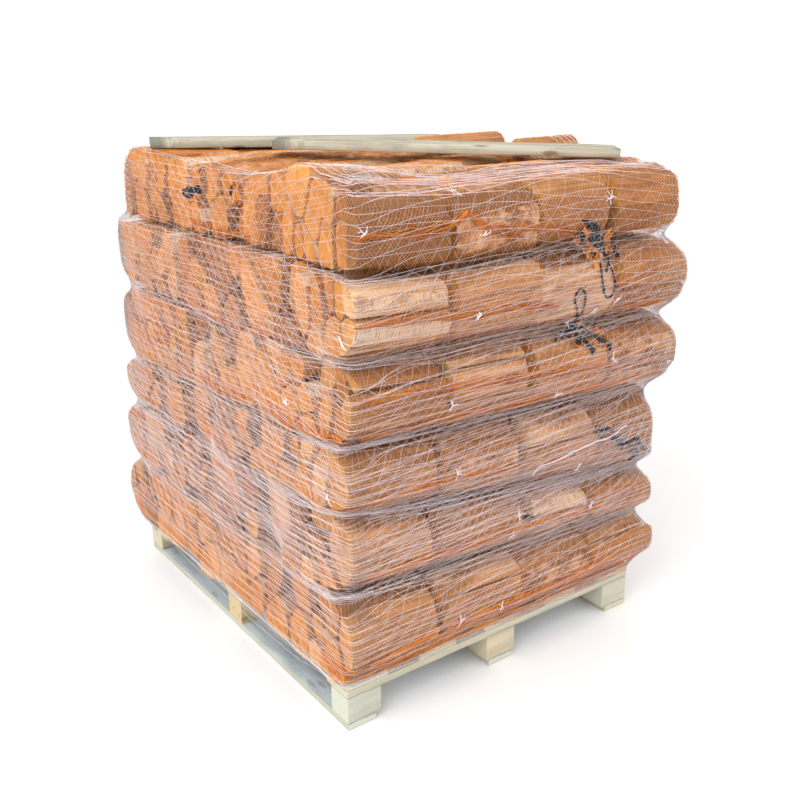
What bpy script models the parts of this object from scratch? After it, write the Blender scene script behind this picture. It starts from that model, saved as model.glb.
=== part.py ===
"""A pallet load of split birch firewood in orange net bags, in metres, +Z up.

The origin lies on the floor under the middle of the pallet. The logs run along X, so their cut
ends look towards -X and +X, and the long side of the pallet runs along Y. "Near" is -X and -Y.
"""

import math
import random

import bmesh
import bpy
from mathutils import Matrix, Vector
from mathutils.geometry import convex_hull_2d

SEED = 36
GAP = 0.0003  # between pieces that touch

PALLET_WIDTH = 1.0  # along X
PALLET_LENGTH = 1.2  # along Y
BOTTOM_BOARD_WIDTH = 0.085
BOTTOM_BOARD_THICKNESS = 0.018
BLOCK_SIZE = Vector((0.1, 0.078, 0.074))
STRINGER_WIDTH = 0.098
STRINGER_THICKNESS = 0.021
DECK_BOARD_WIDTH = 0.122
DECK_BOARD_THICKNESS = 0.021
DECK_BOARD_COUNT = 5
BLOCKS_EACH_WAY = 3

STRINGER_BASE = BOTTOM_BOARD_THICKNESS + BLOCK_SIZE.z + 2 * GAP
DECK_BASE = STRINGER_BASE + STRINGER_THICKNESS + GAP
DECK_TOP = DECK_BASE + DECK_BOARD_THICKNESS

# Height of each seam between two layers of bags over the pallet's corners, in the order
# (-X -Y), (+X -Y), (-X +Y), (+X +Y). The last one is the top of the load.
SEAMS = (
    (DECK_TOP, DECK_TOP, DECK_TOP, DECK_TOP),
    (0.362, 0.305, 0.335, 0.312),
    (0.577, 0.448, 0.532, 0.470),
    (0.749, 0.695, 0.680, 0.690),
    (0.947, 0.908, 0.910, 0.900),
    (1.158, 1.115, 1.105, 1.100),
    (1.300, 1.318, 1.324, 1.288),
)
TOP_CROWN = 0.012  # how far the middle of the top stands above its corners
CROWN_SPAN = (1.2, 1.4)  # the crown dies away over these widths, along X and Y

# How far each layer reaches, as (low X at -Y, low X at +Y, high X, low Y at -X, low Y at +X, high Y)
LAYER_REACH = (
    (-0.508, -0.530, 0.572, -0.640, -0.637, 0.660),
    (-0.515, -0.528, 0.550, -0.622, -0.634, 0.640),
    (-0.512, -0.520, 0.550, -0.632, -0.642, 0.645),
    (-0.503, -0.512, 0.575, -0.650, -0.652, 0.655),
    (-0.498, -0.502, 0.582, -0.664, -0.660, 0.660),
    (-0.466, -0.470, 0.556, -0.642, -0.640, 0.645),
)
BAG_MEETING_X = 0.045  # where the two bags of a row meet
ROW_LINES = (-0.205, 0.215)  # where the three rows meet, as far as they keep to it
ROWS = len(ROW_LINES) + 1
ROW_LINES_TOP = {"near": (-0.11, 0.17), "far": (-0.29, 0.04)}
ROW_DRIFT = 0.045
BAG_GAP = 0.003
SIDES = ("near", "far")

SECTION_POINTS = 14
OUTER_ROUNDNESS = 2.7  # exponent of the superellipse on a face that bulges freely
INNER_ROUNDNESS = 4.6  # and where bags press against each other
LOBE_DEPTH = 0.045
LOBES = 5
# A bag's stations: share of its length, and how full its section is there. The waist is where
# one row of logs ends and the next begins.
STATIONS = ((0.0, 0.90), (0.06, 1.0), (0.45, 1.0), (0.50, 0.955), (0.55, 1.0), (0.94, 1.0), (1.0, 0.90))

NET_BAND_HEIGHT = 0.010
NET_BAND_THICKNESS = 0.0025
NET_CLEARANCE = 0.003
NET_SLACK = 0.0012  # a corner that stands out by less than this is cut straight across
NET_FIRST_LEVEL = -0.25  # counted in layers: the second turn starts a quarter up the first layer
NET_FOOT_LEVEL = -0.04  # and the first turn lies round the deck boards

# Loose boards on the load: (length, width, thickness), the bottom edge's first corner, the turn
# about Z and how far the board dips along its length, in degrees
LOOSE_BOARDS = {
    "loose_board_back": ((0.90, 0.135, 0.023), (-0.445, 0.455), -21.0, 1.0),
    "loose_board_front": ((0.92, 0.115, 0.024), (-0.273, 0.057), -37.6, 1.5),
}
BOARD_REACH = 0.09  # how far past a board's outline the bags that carry it are looked at

WOOD_PALE = (0.80, 0.74, 0.60)
WOOD_WEATHERED = (0.62, 0.60, 0.52)
LOGS_IN_NET = (0.80, 0.42, 0.20)
NET_WHITE = (0.92, 0.90, 0.90)


def clear_scene():
    for obj in list(bpy.data.objects):
        bpy.data.objects.remove(obj, do_unlink=True)


def new_collection(name):
    collection = bpy.data.collections.new(name)
    bpy.context.scene.collection.children.link(collection)
    return collection


def finish(obj, colour, roughness):
    material = bpy.data.materials.new(obj.name + "_finish")
    material.use_nodes = True
    shader = material.node_tree.nodes["Principled BSDF"]
    shader.inputs["Base Color"].default_value = (*colour, 1.0)
    shader.inputs["Roughness"].default_value = roughness
    shader.inputs["Metallic"].default_value = 0.0
    obj.data.materials.append(material)


def object_from(work, name, collection):
    """A new object that takes the work mesh."""
    mesh = bpy.data.meshes.new(name)
    work.to_mesh(mesh)
    work.free()
    obj = bpy.data.objects.new(name, mesh)
    collection.objects.link(obj)
    return obj


def add_box(name, size, centre, collection):
    work = bmesh.new()
    bmesh.ops.create_cube(work, size=1.0)
    bmesh.ops.scale(work, vec=size, verts=work.verts)
    obj = object_from(work, name, collection)
    obj.location = centre
    return obj


def spread(count, whole, width):
    """Middles of pieces of this width that share a length, flush with both of its ends."""
    first = (width - whole) / 2
    return [first + (whole - width) * index / (count - 1) for index in range(count)]


def add_pallet(collection):
    """Three boards on the floor, nine blocks, three stringers across and five deck boards."""
    low_z = BOTTOM_BOARD_THICKNESS / 2
    size = Vector((BOTTOM_BOARD_WIDTH, PALLET_LENGTH, BOTTOM_BOARD_THICKNESS))
    for column, x in enumerate(spread(BLOCKS_EACH_WAY, PALLET_WIDTH, BOTTOM_BOARD_WIDTH), 1):
        board = add_box(f"pallet_bottom_board_{column}", size, (x, 0, low_z), collection)
        finish(board, WOOD_PALE, 0.75)
    block_z = BOTTOM_BOARD_THICKNESS + GAP + BLOCK_SIZE.z / 2
    for row, y in enumerate(spread(BLOCKS_EACH_WAY, PALLET_LENGTH, BLOCK_SIZE.y), 1):
        for column, x in enumerate(spread(BLOCKS_EACH_WAY, PALLET_WIDTH, BLOCK_SIZE.x), 1):
            block = add_box(f"pallet_block_{row}_{column}", BLOCK_SIZE, (x, y, block_z), collection)
            finish(block, WOOD_PALE, 0.8)
    size = Vector((PALLET_WIDTH, STRINGER_WIDTH, STRINGER_THICKNESS))
    stringer_z = STRINGER_BASE + STRINGER_THICKNESS / 2
    for row, y in enumerate(spread(BLOCKS_EACH_WAY, PALLET_LENGTH, STRINGER_WIDTH), 1):
        stringer = add_box(f"pallet_stringer_{row}", size, (0, y, stringer_z), collection)
        finish(stringer, WOOD_PALE, 0.75)
    size = Vector((DECK_BOARD_WIDTH, PALLET_LENGTH, DECK_BOARD_THICKNESS))
    deck_z = DECK_BASE + DECK_BOARD_THICKNESS / 2
    for column, x in enumerate(spread(DECK_BOARD_COUNT, PALLET_WIDTH, DECK_BOARD_WIDTH), 1):
        board = add_box(f"pallet_deck_board_{column}", size, (x, 0, deck_z), collection)
        finish(board, WOOD_PALE, 0.75)


def mix(low, high, share):
    return low + (high - low) * share


def seam_height(seam, x, y):
    """Height of a seam between layers, which sags smoothly from corner to corner."""
    right = x / PALLET_WIDTH + 0.5
    back = y / PALLET_LENGTH + 0.5
    near_side = mix(SEAMS[seam][0], SEAMS[seam][1], right)
    far_side = mix(SEAMS[seam][2], SEAMS[seam][3], right)
    height = mix(near_side, far_side, back)
    if seam == len(SEAMS) - 1:
        height += TOP_CROWN * math.cos(math.pi * x / CROWN_SPAN[0]) * math.cos(math.pi * y / CROWN_SPAN[1])
    return height


def row_lines(layer, side, dice):
    """The two Y values where the layer's three rows meet, on one side of the load."""
    if layer == len(LAYER_REACH) - 1:
        return ROW_LINES_TOP[side]
    return tuple(line + dice.uniform(-ROW_DRIFT, ROW_DRIFT) for line in ROW_LINES)


def bag_ends(layer, side, y):
    """Low and high X of a bag at this Y."""
    reach = LAYER_REACH[layer]
    if side == "near":
        return mix(reach[0], reach[1], y / PALLET_LENGTH + 0.5), BAG_MEETING_X - BAG_GAP / 2
    return BAG_MEETING_X + BAG_GAP / 2, reach[2]


def bag_edges(layer, row, lines, x):
    """Low and high Y of a bag at this X."""
    reach = LAYER_REACH[layer]
    low_edge = mix(reach[3], reach[4], x / PALLET_WIDTH + 0.5)
    edges = (low_edge, lines[0], lines[1], reach[5])
    low = edges[row] + (BAG_GAP / 2 if row > 0 else 0)
    high = edges[row + 1] - (BAG_GAP / 2 if row < ROWS - 1 else 0)
    return low, high


def section_point(turn, row, phase):
    """One point of a bag's section, each way from -1 to 1: flat where bags press, round outside."""
    across = math.cos(turn)
    up = math.sin(turn)
    outside = (row == 0 and across < 0) or (row == ROWS - 1 and across > 0)
    power = 2 / (OUTER_ROUNDNESS if outside else INNER_ROUNDNESS)
    fill = 1 - LOBE_DEPTH * (0.5 + 0.5 * math.cos(LOBES * turn + phase))
    return (
        fill * math.copysign(abs(across) ** power, across),
        fill * math.copysign(abs(up) ** power, up),
    )


def bag_point(layer, row, side, lines, station, point):
    """World place of a section point at one of the bag's stations."""
    share, fullness = station
    across = 0.5 + 0.5 * fullness * point[0]
    up = 0.5 + 0.5 * fullness * point[1]
    x = mix(*bag_ends(layer, side, 0.0), share)
    low_y, high_y = bag_edges(layer, row, lines, x)
    y = mix(low_y, high_y, across)
    x = mix(*bag_ends(layer, side, y), share)
    low_z = seam_height(layer, x, y) + (GAP if layer == 0 else BAG_GAP / 2)
    high_z = seam_height(layer + 1, x, y) - BAG_GAP / 2
    return Vector((x, y, mix(low_z, high_z, up)))


def add_bag(layer, row, side, lines, phase, collection):
    """A net bag of logs lying along X: a loft from one end of the logs to the other."""
    turns = [2 * math.pi * (index + 0.5) / SECTION_POINTS for index in range(SECTION_POINTS)]
    section = [section_point(turn, row, phase) for turn in turns]
    work = bmesh.new()
    rings = []
    for station in STATIONS:
        points = [bag_point(layer, row, side, lines, station, point) for point in section]
        rings.append([work.verts.new(point) for point in points])
    for ring, following in zip(rings, rings[1:]):
        for index in range(SECTION_POINTS):
            after = (index + 1) % SECTION_POINTS
            work.faces.new((ring[index], ring[after], following[after], following[index]))
    work.faces.new(rings[0])
    work.faces.new(rings[-1])
    bmesh.ops.recalc_face_normals(work, faces=work.faces)
    bag = object_from(work, f"bag_layer{layer + 1}_row{row + 1}_{side}", collection)
    finish(bag, LOGS_IN_NET, 0.85)
    return bag


def add_bags(collection):
    dice = random.Random(SEED)
    bags = []
    for layer in range(len(LAYER_REACH)):
        for side in SIDES:
            lines = row_lines(layer, side, dice)
            for row in range(ROWS):
                phase = dice.uniform(0, 2 * math.pi)
                bags.append(add_bag(layer, row, side, lines, phase, collection))
    return bags


def net_outline(points):
    """The taut line round these plan points, from its (+X, +Y) corner on, a little clear of them."""
    hull = [Vector(points[index]) for index in convex_hull_2d(points)]
    outline = []
    for index, place in enumerate(hull):
        before = outline[-1] if outline else hull[-1]
        after = hull[(index + 1) % len(hull)]
        chord = (after - before).normalized()
        if abs(chord.cross(place - before)) > NET_SLACK:
            outline.append(place)
    pushed = []
    for index, place in enumerate(outline):
        into = (place - outline[index - 1]).normalized()
        out_of = (outline[(index + 1) % len(outline)] - place).normalized()
        normal = Vector((into.y, -into.x)) + Vector((out_of.y, -out_of.x))
        pushed.append(place + NET_CLEARANCE * 2 * normal / normal.length_squared)
    first = max(range(len(pushed)), key=lambda index: pushed[index].x + pushed[index].y)
    return pushed[first:] + pushed[:first]


def plan_points(objects):
    """Plan places of all the corners of these objects."""
    places = []
    for obj in objects:
        places += [tuple((obj.matrix_world @ vertex.co).xy) for vertex in obj.data.vertices]
    return places


def level_height(level, x, y):
    """Height at a level counted in layers: 2.5 is halfway up the third layer."""
    layer = min(int(level), len(LAYER_REACH) - 1)
    return mix(seam_height(layer, x, y), seam_height(layer + 1, x, y), level - layer)


def add_pallet_net(bags, deck, collection):
    """The wrapped net's bunched strands: one band that winds up round the load. It goes round
    each layer where that bulges, and is stretched straight past each seam between two layers."""
    numbers = range(1, len(LAYER_REACH) + 1)
    layers = [[bag for bag in bags if f"layer{number}_" in bag.name] for number in numbers]
    held = [deck + layers[0]]
    for lower, upper in zip(layers, layers[1:]):
        held += [lower, lower + upper]
    held.append(layers[-1])
    work = bmesh.new()
    lift = Vector((0, 0, NET_BAND_HEIGHT / 2))
    rungs = []
    for turn, objects in enumerate(held):
        outline = net_outline(plan_points(objects))
        for index, place in enumerate(outline):
            risen = (turn + index / len(outline)) / 2
            level = max(risen + NET_FIRST_LEVEL, NET_FOOT_LEVEL)
            middle = Vector((*place, level_height(level, *place)))
            rungs.append((work.verts.new(middle - lift), work.verts.new(middle + lift)))
    for rung, following in zip(rungs, rungs[1:]):
        work.faces.new((rung[0], following[0], following[1], rung[1]))
    net = object_from(work, "pallet_net", collection)
    wall = net.modifiers.new("Wall", "SOLIDIFY")
    wall.thickness = NET_BAND_THICKNESS
    wall.offset = 1.0
    wall.use_even_offset = True
    finish(net, NET_WHITE, 0.6)


def add_loose_board(name, bags, collection):
    """A board that lies on the load, at the height where it just clears the bags."""
    size, corner, turn, dip = LOOSE_BOARDS[name]
    length, width, thickness = size
    turned = Matrix.Rotation(math.radians(turn), 3, "Z") @ Matrix.Rotation(math.radians(dip), 3, "Y")
    normal = turned @ Vector((0, 0, 1))
    start = Vector((*corner, 0))
    lift = 0.0
    for bag in bags:
        for vertex in bag.data.vertices:
            place = vertex.co - start
            along = place.dot(turned.col[0])
            across = place.dot(turned.col[1])
            beside = max(-along, along - length, -across, across - width)
            if beside < BOARD_REACH:
                lift = max(lift, place.dot(normal) / normal.z)
    board = add_box(name, Vector(size), (0, 0, 0), collection)
    board.rotation_euler = turned.to_euler()
    board.location = start + Vector((0, 0, lift + GAP)) + turned @ Vector((length, width, thickness)) / 2
    finish(board, WOOD_WEATHERED, 0.8)


def main():
    clear_scene()
    collection = new_collection("Pallet of net-bagged birch firewood")
    add_pallet(collection)
    bags = add_bags(collection)
    bpy.context.view_layer.update()
    deck = [obj for obj in collection.objects if "deck_board" in obj.name]
    add_pallet_net(bags, deck, collection)
    top_bags = [bag for bag in bags if f"layer{len(LAYER_REACH)}" in bag.name]
    for name in LOOSE_BOARDS:
        add_loose_board(name, top_bags, collection)


main()
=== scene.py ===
# %% [markdown]
# # A pallet load of net-bagged birch firewood
#
# The real thing is a wooden pallet with six layers of orange net bags on it. Each bag holds
# split birch logs of about a foot, two lengths end to end, and all the logs lie the same way.
# White pallet net is wound round the whole load, and two loose boards lie on top.
#
# This lesson dresses the measured model of that load. The model comes in as a fixed frame,
# with the origin on the floor under the middle of the pallet. X runs along the logs, Y along
# the long side of the pallet, and the photograph is taken from the -X -Y corner.

# %% Load the measured model
import math
import random

import bpy
import numpy as np
from mathutils import Matrix, Vector, geometry
from mathutils.bvhtree import BVHTree


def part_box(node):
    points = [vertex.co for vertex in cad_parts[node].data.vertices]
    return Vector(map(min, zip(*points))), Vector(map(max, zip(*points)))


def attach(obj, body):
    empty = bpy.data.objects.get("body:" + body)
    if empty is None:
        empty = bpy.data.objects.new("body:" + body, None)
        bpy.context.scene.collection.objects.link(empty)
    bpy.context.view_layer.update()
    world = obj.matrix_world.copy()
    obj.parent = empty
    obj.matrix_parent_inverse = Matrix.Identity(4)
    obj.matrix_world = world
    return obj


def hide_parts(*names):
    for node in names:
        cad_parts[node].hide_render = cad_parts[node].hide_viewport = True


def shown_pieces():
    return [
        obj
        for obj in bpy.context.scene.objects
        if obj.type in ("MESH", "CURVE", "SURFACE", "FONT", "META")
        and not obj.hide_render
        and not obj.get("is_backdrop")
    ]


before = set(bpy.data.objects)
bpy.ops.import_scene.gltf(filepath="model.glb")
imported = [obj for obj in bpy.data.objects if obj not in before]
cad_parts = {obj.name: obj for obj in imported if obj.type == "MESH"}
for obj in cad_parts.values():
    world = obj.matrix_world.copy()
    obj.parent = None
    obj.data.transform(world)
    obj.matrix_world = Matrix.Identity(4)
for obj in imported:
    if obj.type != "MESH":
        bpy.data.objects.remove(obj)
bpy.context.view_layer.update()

# %% [markdown]
# ## Camera, light and floor
#
# The camera stands where the photographer stood. Its place, its turn and its lens come from
# eighteen points of the pallet that can be found both in the photograph and in the model, so
# the render can be laid over the photograph. The camera has a very slight roll.

# %% The camera
PHOTO_TURN = math.radians(-36.125)
PHOTO_RISE = math.radians(19.902)
PHOTO_ROLL = math.radians(-0.3175)
PHOTO_PLACE = Vector((-1.5895, -2.3158, 1.6067))
PHOTO_LENS = 44.56
SENSOR_WIDTH = 36


def new_object(name, data):
    """A new object that holds this data, in the scene."""
    made = bpy.data.objects.new(name, data)
    bpy.context.scene.collection.objects.link(made)
    return made


def photo_camera():
    back = Vector((
        math.sin(PHOTO_TURN) * math.cos(PHOTO_RISE),
        -math.cos(PHOTO_TURN) * math.cos(PHOTO_RISE),
        math.sin(PHOTO_RISE),
    ))
    level = Vector((0, 0, 1)).cross(back).normalized()
    upright = back.cross(level)
    right = math.cos(PHOTO_ROLL) * level + math.sin(PHOTO_ROLL) * upright
    up = -math.sin(PHOTO_ROLL) * level + math.cos(PHOTO_ROLL) * upright
    data = bpy.data.cameras.new("Camera")
    data.lens = PHOTO_LENS
    data.sensor_width = SENSOR_WIDTH
    camera = new_object("Camera", data)
    turned = Matrix((right, up, back)).transposed().to_4x4()
    camera.matrix_world = Matrix.Translation(PHOTO_PLACE) @ turned
    bpy.context.scene.camera = camera
    return camera


print("camera at", tuple(photo_camera().matrix_world.translation))

# %% [markdown]
# The photograph was cut out on white and has very soft shadows. A pale sky gives most of the
# light. One large lamp on the upper left makes the cut ends of the logs a little brighter than
# the long sides, and a weak one from the right keeps the shaded side open. The standard view
# transform keeps the orange of the nets as strong as it is on the real bags.

# %% The light
SKY_STRENGTH = 1.12
LAMP_AIM = Vector((0, 0, 0.7))
LAMPS = {
    "Lamp left": ((-3.4, -1.6, 3.4), 3.0, 100.0),
    "Lamp right": ((2.6, -4.2, 2.4), 3.0, 22.0),
}


def light_the_scene():
    bpy.context.scene.view_settings.view_transform = "Standard"
    sky = bpy.data.worlds.new("Pale sky")
    sky.use_nodes = True
    background = sky.node_tree.nodes["Background"]
    background.inputs["Color"].default_value = (1.0, 1.0, 1.0, 1.0)
    background.inputs["Strength"].default_value = SKY_STRENGTH
    bpy.context.scene.world = sky
    for name, (place, size, power) in LAMPS.items():
        data = bpy.data.lights.new(name, "AREA")
        data.size = size
        data.energy = power
        lamp = new_object(name, data)
        lamp.location = place
        lamp.rotation_euler = (LAMP_AIM - lamp.location).to_track_quat("-Z", "Y").to_euler()


light_the_scene()
print("light: a pale sky and", ", ".join(LAMPS))

# %% [markdown]
# ## Finishes
#
# Every finish is built from noise and simple patterns, and is laid out in metres, so that a
# year ring is as wide as a real one. The logs and boards carry a UV map called grain: one
# direction runs along the fibres and the other round the log. A second value, the log's dice,
# gives each log its own tone, so that no two look alike.

# %% A small kit for finishes
class Finish:
    """One material, with short ways to add the nodes that the finishes below need."""

    def __init__(self, name, roughness):
        self.material = bpy.data.materials.new(name)
        self.material.use_nodes = True
        self.tree = self.material.node_tree
        self.shader = self.tree.nodes["Principled BSDF"]
        self.shader.inputs["Roughness"].default_value = roughness
        self.shader.inputs["Specular IOR Level"].default_value = 0.3

    def node(self, kind, inputs, **settings):
        made = self.tree.nodes.new(kind)
        for key, value in settings.items():
            setattr(made, key, value)
        for key, value in inputs.items():
            if isinstance(value, bpy.types.NodeSocket):
                self.tree.links.new(value, made.inputs[key])
            else:
                made.inputs[key].default_value = value
        return made

    def vector(self, operation, *values):
        return self.node("ShaderNodeVectorMath", dict(enumerate(values)), operation=operation).outputs[0]

    def grain(self, stretch, shift=None):
        """The grain map in metres, stretched, and moved for each log by its dice."""
        place = self.node("ShaderNodeUVMap", {}, uv_map="grain").outputs["UV"]
        if shift is not None:
            place = self.vector("MULTIPLY_ADD", shift, (7.0, 7.0, 7.0), place)
        return self.vector("MULTIPLY", place, stretch)

    def dice(self):
        """The piece's own random values: all three as a colour, and the first one, its tone."""
        own = self.node("ShaderNodeAttribute", {}, attribute_name="dice").outputs["Color"]
        return own, self.node("ShaderNodeSeparateColor", {"Color": own}).outputs["Red"]

    def noise(self, vector, scale=1.0, detail=3.0, roughness=0.5):
        inputs = {"Vector": vector, "Scale": scale, "Detail": detail, "Roughness": roughness}
        return self.node("ShaderNodeTexNoise", inputs).outputs["Fac"]

    def fibres(self, stretch, own, detail=3.0, roughness=0.5):
        """Noise on the grain map, stretched, and different on each log."""
        return self.noise(self.grain(stretch, own), 1.0, detail, roughness)

    def rings(self, place, settings):
        """Year rings round the pith, which lies where the grain map of an end is zero."""
        made = self.node("ShaderNodeTexWave", {"Vector": place, **settings}, wave_type="RINGS",
                         rings_direction="SPHERICAL")
        return made.outputs["Fac"]

    def ramp(self, factor, *stops):
        made = self.node("ShaderNodeValToRGB", {"Fac": factor})
        while len(made.color_ramp.elements) < len(stops):
            made.color_ramp.elements.new(0.5)
        for element, (place, colour) in zip(made.color_ramp.elements, stops):
            element.position = place
            element.color = (colour,) * 3 + (1.0,) if isinstance(colour, float) else (*colour, 1.0)
        return made.outputs["Color"]

    def blend(self, factor, first, second, how="MIX"):
        first, second = (value if isinstance(value, bpy.types.NodeSocket) else (*value, 1.0)
                         for value in (first, second))
        made = self.node("ShaderNodeMix", {0: factor, 6: first, 7: second}, data_type="RGBA",
                         blend_type=how)
        return made.outputs[2]

    def stain(self, base, mask, first, last, colour):
        """Lays a colour on the base. First and last are a value of the mask and the strength there."""
        return self.blend(self.ramp(mask, first, last), base, colour)

    def colour(self, socket):
        self.tree.links.new(socket, self.shader.inputs["Base Color"])

    def relief(self, height, depth):
        bump = self.node("ShaderNodeBump", {"Height": height, "Distance": depth, "Strength": 1.0})
        self.tree.links.new(bump.outputs["Normal"], self.shader.inputs["Normal"])


# %% [markdown]
# ### Birch: cut end, split face and bark
#
# The cut end shows pale rings round the pith and fine checks that run out from it. The
# rings are a wave pattern in the distance from the pith. The checks read only the direction
# from the pith, which makes every line radial.

# %% The cut end
END_TONES = (
    (0.0, (0.115, 0.062, 0.036)),
    (0.09, (0.24, 0.125, 0.06)),
    (0.16, (0.5, 0.235, 0.07)),
    (0.4, (0.71, 0.365, 0.095)),
    (0.72, (0.81, 0.455, 0.14)),
    (0.9, (0.84, 0.55, 0.24)),
    (1.0, (0.86, 0.65, 0.39)),
)


def cut_end():
    end = Finish("birch_cut_end", 0.8)
    own, tone = end.dice()
    flat = end.grain((1.0, 1.0, 1.0))
    rings = end.rings(flat, {"Scale": 85.0, "Distortion": 5.0, "Detail": 2.0, "Detail Scale": 0.4})
    outward = end.vector("NORMALIZE", flat)
    moved = end.vector("MULTIPLY_ADD", own, (9.0, 9.0, 9.0), outward)
    checks = end.ramp(end.noise(moved, 4.5, 1.0), (0.475, 0.0), (0.5, 1.0), (0.525, 0.0))
    patches = end.noise(end.grain((1.0, 1.0, 1.0), own), 18.0, 4.0, 0.6)
    wood = end.ramp(tone, *END_TONES)
    wood = end.stain(wood, rings, (0.2, 0.0), (1.0, 0.35), (0.6, 0.26, 0.07))
    wood = end.stain(wood, patches, (0.42, 0.0), (0.72, 0.75), (0.4, 0.17, 0.055))
    deep = end.blend(0.45, (0.0, 0.0, 0.0), checks, "ADD")
    end.colour(end.blend(deep, wood, (0.16, 0.07, 0.03)))
    end.relief(end.blend(0.5, rings, end.noise(flat, 700.0, 2.0)), 0.0006)
    return end.material


# %% [markdown]
# A split face is torn along the fibres, so its noise is stretched fifty times more along the
# log than across it. Birch bark is papery white with thin brown bands, dark patches where it
# has come off, and short dark lines across the log, called lenticels.

# %% The split face and the bark
SPLIT_TONES = (
    (0.0, (0.15, 0.08, 0.048)),
    (0.22, (0.31, 0.155, 0.072)),
    (0.5, (0.5, 0.255, 0.11)),
    (0.76, (0.66, 0.37, 0.175)),
    (0.9, (0.79, 0.5, 0.285)),
    (1.0, (0.87, 0.68, 0.49)),
)
SKIN_TONES = ((0.3, (0.3, 0.15, 0.075)), (0.45, (0.5, 0.28, 0.145)), (0.62, (0.72, 0.49, 0.32)))
PAPER_WHITE = (0.8, 0.66, 0.49)


def split_face():
    face = Finish("birch_split_face", 0.75)
    own, tone = face.dice()
    fibres = face.fibres((260.0, 5.0, 1.0), own, 4.0, 0.6)
    broad = face.fibres((34.0, 6.0, 1.0), own, 4.0, 0.6)
    wood = face.ramp(tone, *SPLIT_TONES)
    wood = face.stain(wood, fibres, (0.35, 0.55), (0.55, 0.0), (0.2, 0.085, 0.035))
    wood = face.stain(wood, fibres, (0.52, 0.0), (0.72, 0.45), (0.8, 0.53, 0.3))
    wood = face.stain(wood, broad, (0.44, 0.0), (0.64, 0.75), (0.22, 0.1, 0.045))
    face.colour(wood)
    face.relief(fibres, 0.002)
    return face.material


def papery_bark():
    bark = Finish("birch_bark", 0.7)
    own, tone = bark.dice()
    layers = bark.fibres((14.0, 30.0, 1.0), own, 5.0, 0.6)
    lines = bark.fibres((45.0, 420.0, 1.0), own, 2.0)
    torn = bark.fibres((26.0, 11.0, 1.0), own, 5.0, 0.7)
    skin = bark.ramp(layers, *SKIN_TONES)
    skin = bark.stain(skin, torn, (0.47, 0.0), (0.56, 0.9), (0.17, 0.075, 0.036))
    skin = bark.stain(skin, lines, (0.6, 0.0), (0.66, 0.85), (0.09, 0.045, 0.028))
    papery = bark.stain(PAPER_WHITE, lines, (0.56, 0.0), (0.62, 0.85), (0.26, 0.14, 0.085))
    papery = bark.stain(papery, torn, (0.52, 0.0), (0.58, 0.6), (0.4, 0.22, 0.12))
    bark.colour(bark.stain(skin, tone, (0.6, 0.0), (0.68, 0.9), papery))
    bark.relief(layers, 0.004)
    return bark.material


# %% [markdown]
# ### Nets, cord, boards and nails
#
# Both nets are thin plastic strands, so their finish is nearly plain, with a soft shine and a
# tone that drifts slowly along the load. The boards get a grain that runs along them, with
# knots where a stretched cell pattern comes close to its points.

# %% Net, cord and nail finishes
def strand_finish(name, light, dark, roughness):
    strand = Finish(name, roughness)
    place = strand.node("ShaderNodeTexCoord", {}).outputs["Object"]
    drift = strand.noise(place, 14.0, 3.0)
    strand.colour(strand.ramp(drift, (0.35, dark), (0.65, light)))
    strand.relief(strand.noise(place, 900.0, 1.0), 0.0003)
    return strand.material


# %% Board finishes
def sawn_wood(name, pale, deep, knot, wear_colour, wear):
    """Two tones for pale and deep: a board's own tone lies between the first and the second."""
    wood = Finish(name, 0.78)
    own, tone = wood.dice()
    fine = wood.fibres((230.0, 4.0, 1.0), own, 4.0, 0.6)
    broad = wood.fibres((34.0, 1.8, 1.0), own, 3.0, 0.55)
    cells = wood.node("ShaderNodeTexVoronoi", {"Vector": wood.grain((12.0, 3.6, 1.0), own), "Scale": 1.0},
                      voronoi_dimensions="2D").outputs["Distance"]
    pale, deep = wood.blend(tone, *pale), wood.blend(tone, *deep)
    shade = wood.stain(pale, broad, (0.38, 0.0), (0.64, 1.0), deep)
    shade = wood.stain(shade, fine, (0.48, 0.0), (0.8, 0.35), knot)
    shade = wood.stain(shade, cells, (0.045, 0.85), (0.1, 0.0), knot)
    blotch = wood.fibres((14.0, 6.0, 1.0), own, 5.0, 0.7)
    shade = wood.stain(shade, blotch, (0.48, 0.0), (0.75, wear), wear_colour)
    damp = wood.node("ShaderNodeSeparateColor", {"Color": own}).outputs["Blue"]
    wood.colour(wood.stain(shade, damp, (0.5, 0.0), (1.0, 0.85), (0.17, 0.17, 0.13)))
    wood.relief(fine, 0.001)
    return wood.material


def sawn_end(name, pale, deep):
    end = Finish(name, 0.85)
    own, tone = end.dice()
    rings = end.rings(end.grain((1.0, 1.0, 1.0)), {"Scale": 60.0, "Distortion": 1.5})
    pores = end.noise(end.grain((420.0, 420.0, 1.0)), 1.0, 2.0)
    shade = end.blend(rings, end.blend(tone, *pale), end.blend(tone, *deep))
    end.colour(end.stain(shade, pores, (0.5, 0.0), (0.8, 0.35), (0.42, 0.33, 0.2)))
    end.relief(pores, 0.0006)
    return end.material


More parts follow.
